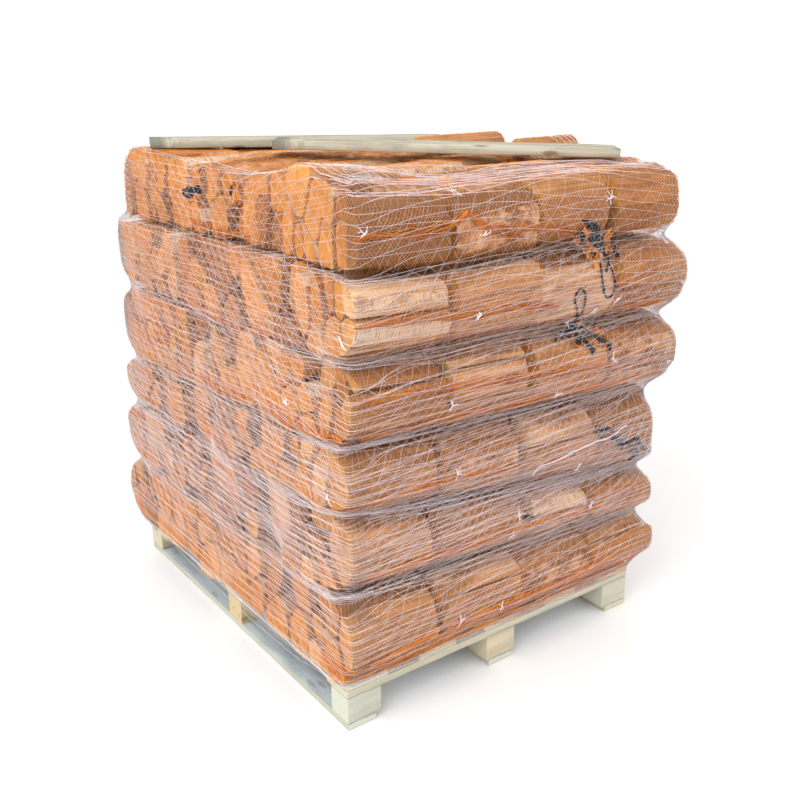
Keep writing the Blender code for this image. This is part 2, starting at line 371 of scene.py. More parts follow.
FINISHES = {
    "end": cut_end(),
    "split": split_face(),
    "bark": papery_bark(),
    "bag net": strand_finish("orange_bag_net", (0.9, 0.36, 0.075), (0.8, 0.245, 0.032), 0.45),
    "pallet net": strand_finish("white_pallet_net", (0.95, 0.88, 0.9), (0.87, 0.78, 0.81), 0.35),
    "cord": strand_finish("black_drawstring", (0.04, 0.04, 0.052), (0.01, 0.01, 0.014), 0.6),
    "nail": strand_finish("dull_nail_steel", (0.45, 0.44, 0.43), (0.28, 0.24, 0.22), 0.5),
    "pallet": sawn_wood(
        "pallet_sawn_wood", ((0.7, 0.55, 0.32), (0.57, 0.58, 0.5)),
        ((0.55, 0.4, 0.21), (0.5, 0.51, 0.41)), (0.34, 0.22, 0.11), (0.36, 0.35, 0.3), 0.55),
    # Blue-grey wood for the faces inside the pallet: painted shade
    "pallet painted shade": sawn_wood(
        "pallet_wood_painted_shade", ((0.5, 0.55, 0.58), (0.58, 0.61, 0.62)),
        ((0.33, 0.38, 0.41), (0.42, 0.46, 0.47)), (0.3, 0.33, 0.34), (0.24, 0.28, 0.31), 0.75),
    "pallet end": sawn_end("pallet_sawn_end", ((0.74, 0.58, 0.33), (0.64, 0.66, 0.57)),
                           ((0.58, 0.42, 0.21), (0.55, 0.56, 0.46))),
    "weathered": sawn_wood(
        "weathered_sawn_wood", ((0.57, 0.53, 0.42), (0.64, 0.65, 0.57)),
        ((0.38, 0.33, 0.22), (0.48, 0.46, 0.36)), (0.24, 0.14, 0.07), (0.27, 0.26, 0.21), 0.8),
    "weathered end": sawn_end("weathered_sawn_end", ((0.4, 0.38, 0.31), (0.46, 0.46, 0.4)),
                              ((0.27, 0.25, 0.2), (0.32, 0.31, 0.27))),
}
FINISHES["nail"].node_tree.nodes["Principled BSDF"].inputs["Metallic"].default_value = 1.0
print("finishes:", ", ".join(sorted(FINISHES)))

# %% [markdown]
# ## Lofts: one way to make every log and every board
#
# A log and a board are both a section that is carried along a length. So one collector takes
# rings of points, joins them with quads, closes both ends with a fan, and writes the grain map
# and the dice as it goes. A loft that comes out inside out is turned round at once.

# %% Small helpers for points and meshes
def mix(low, high, share):
    return low + (high - low) * share


def closed(points):
    """A loop's points, with the first one again at the end."""
    return np.concatenate([points, points[:1]])


def run_along(points):
    """How far along a line each of its points lies."""
    return np.concatenate([[0.0], np.cumsum(np.linalg.norm(np.diff(points, axis=0), axis=1))])


def at_runs(wanted, run, points):
    """The places that lie this far along a line."""
    return np.stack([np.interp(wanted, run, values) for values in points.T], axis=1)


def fill(items, key, values, kind=np.float32):
    """Sets one property of all of a mesh's points, corners or faces."""
    items.foreach_set(key, np.asarray(values).astype(kind).ravel())


def as_triangles(quads, tris):
    return np.concatenate([quads[:, :3], quads[:, [0, 2, 3]], tris])


# %% A collector for lofts
class Lofts:
    """Gathers lofts into one mesh, with the grain map, the dice and a finish number per face."""

    def __init__(self):
        self.points, self.dice, self.faces, self.maps, self.numbers = [], [], [], [], []
        self.count = 0

    def add(self, rings, along, side_numbers, end_number, pith, dice):
        rings, along = np.asarray(rings, float), np.asarray(along, float)
        turns, size = rings.shape[:2]
        shown = self.count + np.arange(turns * size).reshape(turns, size)
        after = np.roll(shown, -1, axis=1)
        quads = np.stack([shown[:-1], after[:-1], after[1:], shown[1:]], axis=2).reshape(-1, 4)
        around = run_along(closed(rings[1]))
        u = np.stack([around[:-1], around[1:], around[1:], around[:-1]], axis=1)
        v = np.stack([along[:-1], along[:-1], along[1:], along[1:]], axis=1)
        quad_maps = np.stack(np.broadcast_arrays(u[None], v[:, None]), axis=3).reshape(-1, 4, 2)
        middles = rings[[0, -1]].mean(axis=1)
        fans, fan_maps = [], []
        for end, order in ((0, (1, 0, 2)), (-1, (0, 1, 2))):
            hubs = np.full(size, self.count + turns * size - end)
            flat = rings[end][:, 1:] - pith
            hub_map = np.tile(middles[end][1:] - pith, (size, 1))
            corners = (shown[end], after[end], hubs)
            corner_maps = (flat, np.roll(flat, -1, axis=0), hub_map)
            fans.append(np.stack([corners[k] for k in order], axis=1))
            fan_maps.append(np.stack([corner_maps[k] for k in order], axis=1))
        points = np.concatenate([rings.reshape(-1, 3), middles])
        tris, tri_maps = np.concatenate(fans), np.concatenate(fan_maps)
        a, b, c = (points[corner - self.count] - points[0] for corner in as_triangles(quads, tris).T)
        inside_out = np.einsum("ij,ij->", a, np.cross(b, c)) < 0
        if inside_out:
            quads, quad_maps, tris, tri_maps = (rows[:, ::-1] for rows in (quads, quad_maps, tris, tri_maps))
        self.points.append(points)
        self.dice.append(np.tile(dice, (len(points), 1)))
        self.faces.append((quads, tris))
        self.maps.append((quad_maps, tri_maps))
        self.numbers.append((np.tile(side_numbers, turns - 1), np.full(len(tris), end_number)))
        self.count += len(points)

    def triangles(self):
        return as_triangles(*(np.concatenate(faces) for faces in zip(*self.faces)))

    def piece(self, name, finishes):
        points = np.concatenate(self.points)
        faces = [rows for pair in self.faces for rows in pair]
        corners = np.concatenate([rows.ravel() for rows in faces])
        totals = np.concatenate([np.full(len(rows), rows.shape[1]) for rows in faces])
        maps = np.concatenate([rows.reshape(-1, 2) for pair in self.maps for rows in pair])
        numbers = np.concatenate([rows for pair in self.numbers for rows in pair])
        dice = np.concatenate([np.concatenate(self.dice), np.ones((len(points), 1))], axis=1)
        mesh = bpy.data.meshes.new(name)
        mesh.vertices.add(len(points))
        mesh.loops.add(len(corners))
        mesh.polygons.add(len(totals))
        fill(mesh.vertices, "co", points)
        fill(mesh.loops, "vertex_index", corners, np.int32)
        fill(mesh.polygons, "loop_start", np.cumsum(totals) - totals, np.int32)
        fill(mesh.polygons, "material_index", numbers, np.int32)
        fill(mesh.polygons, "use_smooth", totals == 4, bool)
        fill(mesh.uv_layers.new(name="grain").data, "uv", maps)
        fill(mesh.attributes.new("dice", "FLOAT_COLOR", "POINT").data, "color", dice)
        for finish in finishes:
            mesh.materials.append(FINISHES[finish])
        mesh.update(calc_edges=True)
        return new_object(name, mesh)


# %% [markdown]
# ## The shape of a bag
#
# The measured model gives each layer's seams, how far it reaches and where its three rows of
# bags meet. The same rules are repeated here, so that the logs fill exactly the space that
# their bag has. A seam sags smoothly from corner to corner of the pallet. The top also stands
# higher at a few places, and the seam under the top layer lies lower near the near corner:
# each bulge has a middle, a reach along X and along Y, and a rise.

# %% Seams, reach and rows
SEED = 36
PALLET_WIDTH = 1.0
PALLET_LENGTH = 1.2
DECK_TOP = 0.1349
# Each seam's height at the corners -X -Y, +X -Y, -X +Y and +X +Y
SEAMS = (
    (DECK_TOP, DECK_TOP, DECK_TOP, DECK_TOP),
    (0.362, 0.305, 0.335, 0.312),
    (0.577, 0.448, 0.532, 0.470),
    (0.749, 0.695, 0.680, 0.690),
    (0.947, 0.908, 0.910, 0.900),
    (1.158, 1.115, 1.105, 1.100),
    (1.300, 1.318, 1.324, 1.288),
)
TOP_CROWN = 0.012
CROWN_SPAN = (1.2, 1.4)
# How far each layer reaches: low X at low and at high Y, high X, low Y at low and at high X, high Y
LAYER_REACH = (
    (-0.508, -0.530, 0.572, -0.640, -0.637, 0.660),
    (-0.515, -0.528, 0.550, -0.622, -0.634, 0.640),
    (-0.512, -0.520, 0.550, -0.632, -0.642, 0.645),
    (-0.503, -0.512, 0.575, -0.650, -0.652, 0.655),
    (-0.498, -0.502, 0.582, -0.664, -0.660, 0.660),
    (-0.466, -0.470, 0.556, -0.642, -0.640, 0.645),
)
LAYERS = len(LAYER_REACH)
SEAM_BULGES = {
    LAYERS - 1: ((-0.3, -0.62, 0.33, 0.25, -0.022),),
    LAYERS: (
        (-0.5, -0.45, 0.22, 0.17, 0.05),
        (-0.27, 0.13, 0.12, 0.11, 0.012),
        (-0.45, 0.54, 0.12, 0.14, 0.015),
    ),
}
ROWS = 3
BAG_MEETING_X = 0.045
ROW_LINES = (-0.205, 0.215)
ROW_LINES_TOP = {"near": (-0.11, 0.17), "far": (-0.29, 0.04)}
ROW_DRIFT = 0.045
BAG_GAP = 0.003


def seam_height(seam, x, y):
    """Height of a seam over plan places, which may be numbers or arrays."""
    right = x / PALLET_WIDTH + 0.5
    back = y / PALLET_LENGTH + 0.5
    near_side = mix(SEAMS[seam][0], SEAMS[seam][1], right)
    far_side = mix(SEAMS[seam][2], SEAMS[seam][3], right)
    height = mix(near_side, far_side, back)
    if seam == LAYERS:
        crown = TOP_CROWN * np.cos(math.pi * x / CROWN_SPAN[0])
        height = height + crown * np.cos(math.pi * y / CROWN_SPAN[1])
    for centre_x, centre_y, long, wide, rise in SEAM_BULGES.get(seam, ()):
        height = height + rise * np.exp(-((x - centre_x) / long) ** 2 - ((y - centre_y) / wide) ** 2)
    return height


def bag_list():
    """Every bag as (layer, side, row, lines), in the order in which the model draws its numbers."""
    dice = random.Random(SEED)
    bags = []
    for layer in range(LAYERS):
        for side in ("near", "far"):
            lines = ROW_LINES_TOP[side]
            if layer < LAYERS - 1:
                lines = tuple(line + dice.uniform(-ROW_DRIFT, ROW_DRIFT) for line in ROW_LINES)
            for row in range(ROWS):
                # The model draws one more number for each bag
                dice.uniform(0, 2 * math.pi)
                bags.append((layer, side, row, lines))
    return bags


def bag_ends(layer, side, y):
    """Low and high X of a bag at this Y."""
    reach = LAYER_REACH[layer]
    if side == "near":
        return mix(reach[0], reach[1], y / PALLET_LENGTH + 0.5), BAG_MEETING_X - BAG_GAP / 2
    return BAG_MEETING_X + BAG_GAP / 2, reach[2]


def bag_edges(layer, row, lines, x):
    """Low and high Y of a bag at this X."""
    reach = LAYER_REACH[layer]
    edges = (mix(reach[3], reach[4], x / PALLET_WIDTH + 0.5), lines[0], lines[1], reach[5])
    low = edges[row] + (BAG_GAP / 2 if row > 0 else 0)
    high = edges[row + 1] - (BAG_GAP / 2 if row < ROWS - 1 else 0)
    return low, high


def bag_place(bag, share, across, up):
    """World places in a bag: share of its length, then across and up from 0 to 1, as arrays."""
    layer, side, row, lines = bag
    x = mix(*bag_ends(layer, side, 0.0), share)
    y = mix(*bag_edges(layer, row, lines, x), across)
    x = mix(*bag_ends(layer, side, y), share)
    low = seam_height(layer, x, y) + BAG_GAP / 2
    high = seam_height(layer + 1, x, y) - BAG_GAP / 2
    return np.stack([x + 0 * y, y, mix(low, high, up)], axis=-1)


BAGS = bag_list()
print("bags:", len(BAGS), "in", LAYERS, "layers")

# %% [markdown]
# ## Packing the logs
#
# Split logs in a net bag wedge against each other with only thin gaps between them. Cells
# round scattered points do the same thing, so the section of each bag is cut into such cells:
# every cell keeps the points that lie nearer to its own seed than to any other. Moving each
# seed to the middle of its cell a few times evens the sizes out.

# %% Cut a bag's section into cells
# A free side's roundness is that of its lower and of its upper edge: the higher, the fuller.
OUTER_ROUNDNESS = (2.7, 2.7)
FULL_ROUNDNESS = {(4, "near"): (2.7, 6.0), (5, "near"): (5.0, 2.7)}
PACKED_ROUNDNESS = 8.0
SECTION_POINTS = 32
SECTION_HALF = 0.497
SEED_STEPS = 3
SEED_SHARE = 0.7


def section_outline(width, height, row, roundness):
    """The bag's section: flat where bags press on each other, round where it bulges freely."""
    outline = []
    for index in range(SECTION_POINTS):
        turn = 2 * math.pi * (index + 0.5) / SECTION_POINTS
        across, up = math.cos(turn), math.sin(turn)
        outside = (row == 0 and across < 0) or (row == ROWS - 1 and across > 0)
        power = 2 / (roundness[up > 0] if outside else PACKED_ROUNDNESS)
        across = math.copysign(abs(across) ** power, across)
        up = math.copysign(abs(up) ** power, up)
        outline.append((width * (0.5 + SECTION_HALF * across), height * (0.5 + SECTION_HALF * up)))
    return outline


def mix_pair(first, second, share):
    return mix(first[0], second[0], share), mix(first[1], second[1], share)


def cut_back(polygon, px, py, nx, ny):
    """The part of a polygon behind the line through (px, py) that faces (nx, ny)."""
    kept = []
    before = polygon[-1]
    reach_before = (before[0] - px) * nx + (before[1] - py) * ny
    for here in polygon:
        reach = (here[0] - px) * nx + (here[1] - py) * ny
        if (reach > 0) != (reach_before > 0):
            kept.append(mix_pair(before, here, reach_before / (reach_before - reach)))
        if reach <= 0:
            kept.append(here)
        before, reach_before = here, reach
    return kept


def middle_of(polygon):
    area = sum_x = sum_y = 0.0
    before = polygon[-1]
    for here in polygon:
        cross = before[0] * here[1] - here[0] * before[1]
        area += cross
        sum_x += (before[0] + here[0]) * cross
        sum_y += (before[1] + here[1]) * cross
        before = here
    return sum_x / (3 * area), sum_y / (3 * area)


def log_cells(width, height, row, count, tallness, roundness, dice):
    """The section's cells. A tallness over 1 makes them taller than they are wide."""
    outline = [(x * tallness, y) for x, y in section_outline(width, height, row, roundness)]
    seeds = [(dice.uniform(0.05, 0.95) * width * tallness, dice.uniform(0.1, 0.9) * height)
             for _ in range(count)]
    for _ in range(SEED_STEPS):
        cells = []
        for seed in seeds:
            cell = outline
            for other in seeds:
                if other is not seed:
                    middle = ((seed[0] + other[0]) / 2, (seed[1] + other[1]) / 2)
                    cell = cut_back(cell, *middle, other[0] - seed[0], other[1] - seed[1]) or cell
            cells.append(cell)
        seeds = [mix_pair(seed, middle_of(cell), SEED_SHARE) for seed, cell in zip(seeds, cells)]
    return [[(x / tallness, y) for x, y in cell] for cell in cells]


sample = log_cells(0.4, 0.2, 0, 11, 1.0, OUTER_ROUNDNESS, random.Random(1))
print("a bag's section is cut into", len(sample), "cells with", [len(cell) for cell in sample], "corners")

# %% [markdown]
# ## From a cell to a split log
#
# A round is split into wedges, so a log has one curved bark side and flat split faces, and its
# pith lies near the edge opposite the bark. The cell's corners are rounded a little, its
# outline is divided evenly, and the points on the bark side are drawn back to a curve.

# %% One log's section
LOG_GAPS = (0.001, 0.0036)
CORNER_SHARES = (0.07, 0.27)
CORNER_CUTS = 2
FINE_POINTS = 26
PLAIN_POINTS = 12
BARK_HALF_TURNS = (0.7, 1.15)
BARK_SHOULDER = 0.25
FACE_WOBBLE = 0.0006
PITH_REACHES = (0.5, 1.1)


def rounded(cell, corner):
    points = np.array(cell)
    for _ in range(CORNER_CUTS):
        after = np.roll(points, -1, axis=0)
        points = np.stack([mix(points, after, corner), mix(after, points, corner)], axis=1).reshape(-1, 2)
    return points


def evenly(points, count):
    loop = closed(points)
    run = run_along(loop)
    return at_runs(np.linspace(0, run[-1], count, endpoint=False), run, loop)


def log_section(cell, bark_turn, count, dice):
    """Even points round a log, which of its sides are bark, and where its pith is."""
    points = evenly(rounded(cell, dice.uniform(*CORNER_SHARES)), count)
    middle = points.mean(axis=0)
    arm = points - middle
    reach = np.linalg.norm(arm, axis=1)
    turn = np.arctan2(arm[:, 1], arm[:, 0])
    off = np.abs((turn - bark_turn + math.pi) % (2 * math.pi) - math.pi)
    half = dice.uniform(*BARK_HALF_TURNS)
    is_bark = off < half
    curve = np.clip(1 - (off / (half + BARK_SHOULDER)) ** 2, 0, 1) * 0.5
    typical = np.median(reach[is_bark]) if is_bark.any() else reach.mean()
    reach = mix(reach, np.minimum(reach, typical * 1.03), curve)
    wobble = sum(math.sin(k) * FACE_WOBBLE * np.cos(k * turn + dice.uniform(0, 6.3)) for k in (3, 5, 8))
    reach = reach - dice.uniform(*LOG_GAPS) + np.where(is_bark, 0.0, wobble) - np.abs(wobble) * 0.5
    points = middle + arm / np.linalg.norm(arm, axis=1)[:, None] * reach[:, None]
    inward = -np.array([math.cos(bark_turn), math.sin(bark_turn)])
    pith = middle + inward * reach.mean() * dice.uniform(*PITH_REACHES)
    return points, is_bark & np.roll(is_bark, -1), pith


# %% [markdown]
# The section goes to both ends of the log's stretch of the bag, and straight lines join the
# two, because a log doesn't bend with its bag. The sawn ends stand some way in or out, lean a
# little, and have a worn edge. Some stand deep in the pile. On the lowest layer the ends that
# hang past the pallet also reach down over its edge. Logs that can't be seen get fewer points.

# %% One log in its place
FINISH_ORDER = ("end", "bark", "split")
END_NUMBER, BARK_NUMBER, SPLIT_NUMBER = range(3)
WORN_EDGE = 0.0025
WORN_SCALE = 0.965
PALLET_EDGE = -0.5035
LIP_WALL = 0.0007
DEEP_SHARE = 0.13
DEEP_BACKS = (0.018, 0.042)
SUNKEN_BACK = 0.034
BACKS = (-0.002, 0.014)
LIP_BACKS = (-0.002, 0.004)
LEAN = 0.07
LIP_LEAN = 0.02
FURTHEST_OUT = 0.004
SIDE_SWELL = 0.016


def add_log(lofts, bag, cell, size, shares, end_sign, bark_turn, fine, dice,
            rise, crown, lip, tone, sunken):
    """Rise and crown lift the log's top, and a lip hangs down over the pallet's edge."""
    count = FINE_POINTS if fine else PLAIN_POINTS
    section, bark, pith = log_section(cell, bark_turn, count, dice)
    across, up = section[:, 0] / size[0], section[:, 1] / size[1]
    start, stop = (bag_place(bag, share, across, up) for share in shares)
    root = bag_place(bag, shares[0], np.array([pith[0] / size[0]]), np.array([pith[1] / size[1]]))[0]
    middle = start.mean(axis=0)
    deep = dice.random() < DEEP_SHARE and not lip
    aside = np.abs(section[:, 0] - section[:, 0].mean()) / np.ptp(section[:, 0]) * 2
    for ends, sign in ((start, -1), (stop, 1)):
        ends[:, 2] += (rise - crown * aside ** 2) * section[:, 1] / size[1]
        if end_sign == sign:
            back = dice.uniform(*(DEEP_BACKS if deep else LIP_BACKS if lip else BACKS))
            ends[:, 0] -= sign * (SUNKEN_BACK if sunken else back)
            lean = LIP_LEAN if lip else LEAN
            aslant = (ends[:, 1] - middle[1]) * dice.gauss(0, lean)
            ends[:, 0] += aslant + (ends[:, 2] - middle[2]) * dice.gauss(0, lean)
            if sign < 0:
                ends[:, 0] = np.maximum(ends[:, 0], middle[0] - FURTHEST_OUT)
    length = abs((stop - start)[:, 0].mean())
    edge = WORN_EDGE / length
    places = [0.0, edge, 0.33, 0.67, 1 - edge, 1.0] if fine else [0.0, 1.0]
    past_edge = (PALLET_EDGE - start[:, 0].mean()) / length
    if lip and past_edge > 2 * edge:
        places[2:2] = [past_edge, past_edge + LIP_WALL / length]
    below = (middle[2] - start[:, 2]) / (middle[2] - start[:, 2].min())
    drop = -lip * np.clip(below, 0, 1) ** 0.6
    rings = []
    for place in places:
        ring = mix(start, stop, place)
        heart = ring.mean(axis=0)
        if fine and place in (0.0, 1.0):
            ring = heart + (ring - heart) * WORN_SCALE
        elif fine and 0.1 < place < 0.9:
            swell = 1 - np.abs([dice.gauss(0, SIDE_SWELL) for _ in range(count)])
            ring = heart + (ring - heart) * swell[:, None]
        if place <= past_edge:
            ring[:, 2] += drop
        rings.append(ring)
    shift = dice.uniform(0, 5)
    sides = np.where(bark, BARK_NUMBER, SPLIT_NUMBER)
    own = (dice.random() if tone is None else tone, dice.random(), dice.random())
    lofts.add(rings, [shift + place * length for place in places], sides, END_NUMBER, root[1:], own)


# %% [markdown]
# A bag takes two lengths of logs, end to end, and each is packed on its own. On the free sides
# of the load most logs show their bark. The pieces stand rather than lie, and the ones of the
# top layer rise and dip by a centimetre or two where no loose board rests on them. The outer
# logs of the photograph's right face get the finish and the tone that they have there, and the
# ones in the lower part of each layer a darker tone, which is painted shade. The ends in the dark
# hollows of the left face stand back and get a dark tone, which is painted shade as well.

# %% What the logs of a bag are like
BAG_LENGTH = 0.54
LOGS_PER_BAG = 11.5
BAG_SECTION = 0.08
COUNT_SPREAD = 1.4
FEWEST_LOGS = 6
TALLNESS = (1.15, 1.8)
TOP_TALLNESS = (1.5, 2.2)
SPLIT_JOINTS = 0.004
JOINT_SLACK = 0.035
FREE_STRIP = 0.04
LEVEL_STRIP = 0.03
TURNED_SHARE = 0.3
TOP_RISE = (-0.007, 0.0)
FREE_TOP_RISE = (-0.011, 0.009)
TOP_CROWNS = (0.004, 0.016)
TOP_TONES = (0.36, 0.74)
LIP_DEPTH = (0.004, 0.036)
# Dark tones for the ends in the hollows: painted shade
HOLLOW_SHADE_TONES = (0.02, 0.13)
# The dark hollows as (Y, Z, half width, half height)
SUNKEN = (
    (0.0, 1.095, 0.105, 0.05), (-0.165, 0.995, 0.045, 0.045), (0.025, 0.885, 0.12, 0.045),
    (0.06, 0.672, 0.105, 0.042), (0.285, 1.085, 0.045, 0.045), (-0.1, 0.815, 0.045, 0.045),
    (0.315, 1.086, 0.035, 0.035), (-0.36, 0.65, 0.045, 0.04), (-0.15, 0.6, 0.04, 0.04),
    (0.3, 0.52, 0.05, 0.04),
)
# On the right face the logs in the lower part of a layer are darkened: painted shade under the layer's bulge
UNDERSIDE = 0.45
UNDERSIDE_PAINTED_SHADE = 0.25
DARKEST = 0.05
# The finish and tone of each layer's four lengths of logs on the right face, from the near corner on
RIGHT_FACE = (
    (("split", 0.64), ("split", 0.88), ("bark", 0.58), ("split", 0.76)),
    (("split", 0.78), ("split", 0.54), ("bark", 0.85), ("split", 0.48)),
    (("split", 0.66), ("bark", 0.46), ("split", 0.92), ("split", 0.26)),
    (("split", 0.46), ("split", 0.88), ("split", 0.72), ("bark", 0.36)),
    (("bark", 0.95), ("split", 0.78), ("split", 0.95), ("split", 0.42)),
    (("split", 0.12), ("bark", 0.18), ("split", 0.56), ("split", 0.36)),
)


def free_top(x, y):
    """True where no loose board lies on the top."""
    return y < -0.25 or (x < -0.21 and y < -0.06)


def in_hollow(y, z):
    return any(math.hypot((y - spot[0]) / spot[2], (z - spot[1]) / spot[3]) < 1 for spot in SUNKEN)


# %% Fill every bag
def fill_bag(bag):
    layer, side, row, lines = bag
    dice = random.Random(f"{SEED} {layer} {side} {row}")
    lofts = Lofts()
    near_x, far_x = bag_ends(layer, side, 0.0)
    x = mix(near_x, far_x, 0.5)
    low_y, high_y = bag_edges(layer, row, lines, x)
    y = (low_y + high_y) / 2
    size = (high_y - low_y, seam_height(layer + 1, x, y) - seam_height(layer, x, y))
    joint = SPLIT_JOINTS / BAG_LENGTH
    roundness = FULL_ROUNDNESS.get((layer, side), OUTER_ROUNDNESS)
    for half in (0, 1):
        outer = half == (0 if side == "near" else 1)
        photographed = side == "near" and half == 0
        usual = LOGS_PER_BAG * size[0] * size[1] / BAG_SECTION
        count = max(FEWEST_LOGS, round(usual + dice.uniform(-COUNT_SPREAD, COUNT_SPREAD)))
        tallness = dice.uniform(*TALLNESS)
        if layer == LAYERS - 1:
            tallness, count = dice.uniform(*TOP_TALLNESS), count - 1
        for cell in log_cells(*size, row, count, tallness, roundness, dice):
            middle = middle_of(cell)
            place_y = low_y + middle[0]
            lows, highs = np.min(cell, axis=0), np.max(cell, axis=0)
            on_low = row == 0 and lows[0] < FREE_STRIP
            on_high = row == ROWS - 1 and highs[0] > size[0] - FREE_STRIP
            on_top = layer == LAYERS - 1 and highs[1] > size[1] - LEVEL_STRIP
            out_turn = math.pi if on_low else 0.0 if on_high else math.pi / 2
            free = on_low or on_high or on_top
            if not free or dice.random() < TURNED_SHARE:
                out_turn = dice.uniform(0, 2 * math.pi)
            shares = [0.0, 0.5 - joint] if half == 0 else [0.5 + joint, 1.0]
            shares[1 - half] += dice.uniform(0, JOINT_SLACK) * (2 * half - 1)
            rise = crown = lip = 0.0
            tone = None
            if on_top:
                place_x = mix(near_x, far_x, sum(shares) / 2)
                rise = dice.uniform(*(FREE_TOP_RISE if free_top(place_x, place_y) else TOP_RISE))
                crown, tone = dice.uniform(*TOP_CROWNS), dice.uniform(*TOP_TONES)
            if layer == 0 and photographed and lows[1] < LEVEL_STRIP:
                lip = dice.uniform(*LIP_DEPTH)
            place_z = seam_height(layer, near_x, place_y) + middle[1]
            sunken = photographed and not lip and in_hollow(place_y, place_z)
            # A sunken end also gets a dark tone, which is painted shade of its hollow
            if sunken:
                tone = dice.uniform(*HOLLOW_SHADE_TONES)
            if on_low:
                finish, tone = RIGHT_FACE[layer][half + 2 * (side == "far")]
                out_turn = math.pi if finish == "bark" else 0.0
                # Painted shade: the lower logs of a layer on the right face get a darker tone
                if middle[1] < UNDERSIDE * size[1]:
                    tone = max(DARKEST, tone - UNDERSIDE_PAINTED_SHADE)
            add_log(lofts, bag, cell, size, shares, 2 * half - 1, out_turn, free or outer, dice,
                    rise, crown, lip, tone, sunken)
    return lofts


LOGS = {bag[:3]: fill_bag(bag) for bag in BAGS}
print("logs in each bag:", [len(lofts.points) for lofts in LOGS.values()])

# %% [markdown]
# A few halved logs don't lie among the others: they ride on top of them, just under the net, and
# stand out behind and beside the loose boards. Each is a low half round with its flat side down.

# %% Halved logs on top
# Each as the bag that it lies on, its middle, length, width, the height of its top and its tone
RIDERS = (
    (("far", 1), (0.28, -0.048), 0.29, 0.078, 1.356, 0.6),
    (("far", 1), (0.452, -0.222), 0.205, 0.072, 1.35, 0.55),
)
LOWEST_RIDER = 0.014
RIDER_SWELL = 0.02
ABOVE_ALL = 1.5
RAY_REACH = 0.6


def tree_of(layer):
    """A ray-cast tree of one layer's logs."""
    points, faces, count = [], [], 0
    for key, lofts in LOGS.items():
        if key[0] == layer:
            points.append(np.concatenate(lofts.points))
            faces.append(lofts.triangles() + count)
            count += len(points[-1])
    return BVHTree.FromPolygons(np.concatenate(points).tolist(), np.concatenate(faces).tolist())


def landing(tree, x, y, floor):
    """The height at which a ray from above meets a log, or else the floor's."""
    hit = tree.ray_cast((x, y, ABOVE_ALL), (0.0, 0.0, -1.0), RAY_REACH)
    return floor if hit[0] is None else hit[0].z


def add_riders():
    dice = random.Random(f"{SEED} riders")
    tree = tree_of(LAYERS - 1)
    turns = np.linspace(0, 2 * math.pi, FINE_POINTS, endpoint=False)
    across = np.cos(turns)
    up = np.where(np.sin(turns) > 0, np.abs(np.sin(turns)) ** 0.8, 0.1 * np.sin(turns))
    for key, (x, y), length, width, top, tone in RIDERS:
        bed = -1.0
        for step_x in np.linspace(-0.45, 0.45, 8) * length:
            for step_y in np.linspace(-0.45, 0.45, 6) * width:
                bed = max(bed, landing(tree, x + step_x, y + step_y, bed))
        height = max(LOWEST_RIDER, top - bed)
        rings = []
        places = (0.0, WORN_EDGE / length, 0.3, 0.7, 1 - WORN_EDGE / length, 1.0)
        for place in places:
            shrink = WORN_SCALE
            if place not in (0.0, 1.0):
                shrink = 1 - np.abs([dice.gauss(0, RIDER_SWELL) for _ in turns])
            ring_x = np.full(len(turns), x + (place - 0.5) * length)
            ring_y = y + across * width / 2 * shrink
            ring_z = bed + 0.0005 + height * 0.1 + up * height * 0.9 * shrink
            rings.append(np.column_stack([ring_x, ring_y, ring_z]))
        sides = np.full(len(turns), SPLIT_NUMBER)
        along = [place * length for place in places]
        own = (tone, dice.random(), dice.random())
        LOGS[(LAYERS - 1, *key)].add(rings, along, sides, END_NUMBER, np.array([y, bed]), own)


add_riders()
LOG_PIECES = []
for (layer, side, row), lofts in LOGS.items():
    name = f"layer{layer + 1}_row{row + 1}_{side}"
    LOG_PIECES.append((lofts.piece("logs_" + name, FINISH_ORDER), "bag_" + name))
print("logs:", sum(len(lofts.points) for lofts in LOGS.values()),
      "with", sum(len(lofts.triangles()) for lofts in LOGS.values()), "triangles")

# %% [markdown]
# ## Where the nets lie
#
# A net is pulled tight over what it holds. To find out where it lies, rays are sent inwards
# from a lane all round the load, and the depth at which each one meets a log is kept in a
# table: columns go round the load and rows go up. Gaps that are narrower than a hand are then
# closed, as a taut net closes them, and the steps are smoothed.

# %% The lane round the load
LANE = (-0.66, 0.7, -0.78, 0.78)
LANE_CORNER = 0.25
LANE_STEP = 0.008
FACE_DEPTH = 0.15


def lane_points():
    """Evenly spaced places round the load, counter-clockwise seen from above, and the way in."""
    low_x, high_x, low_y, high_y = LANE
    centres = ((high_x, low_y, -90), (high_x, high_y, 0), (low_x, high_y, 90), (low_x, low_y, 180))
    places, inward = [], []
    for x, y, first in centres:
        x += -LANE_CORNER if x > 0 else LANE_CORNER
        y += -LANE_CORNER if y > 0 else LANE_CORNER
        for turn in np.radians(np.arange(first, first + 90.1, 1.0)):
            out = np.array([math.cos(turn), math.sin(turn)])
            places.append(np.array([x, y]) + LANE_CORNER * out)
            inward.append(-out)
    places, inward = closed(np.array(places)), closed(np.array(inward))
    run = run_along(places)
    wanted = np.linspace(0, run[-1], round(run[-1] / LANE_STEP), endpoint=False)
    way = at_runs(wanted, run, inward)
    return at_runs(wanted, run, places), way / np.linalg.norm(way, axis=1)[:, None], run[-1]


LANE_PLACE, LANE_IN, LANE_LENGTH = lane_points()
COLUMNS = len(LANE_PLACE)
FACE_GUESS = LANE_PLACE + FACE_DEPTH * LANE_IN
SEAM_ROUND = [seam_height(seam, *FACE_GUESS.T) for seam in range(LAYERS + 1)]
print("the lane is", round(LANE_LENGTH, 2), "m long, with", COLUMNS, "columns")

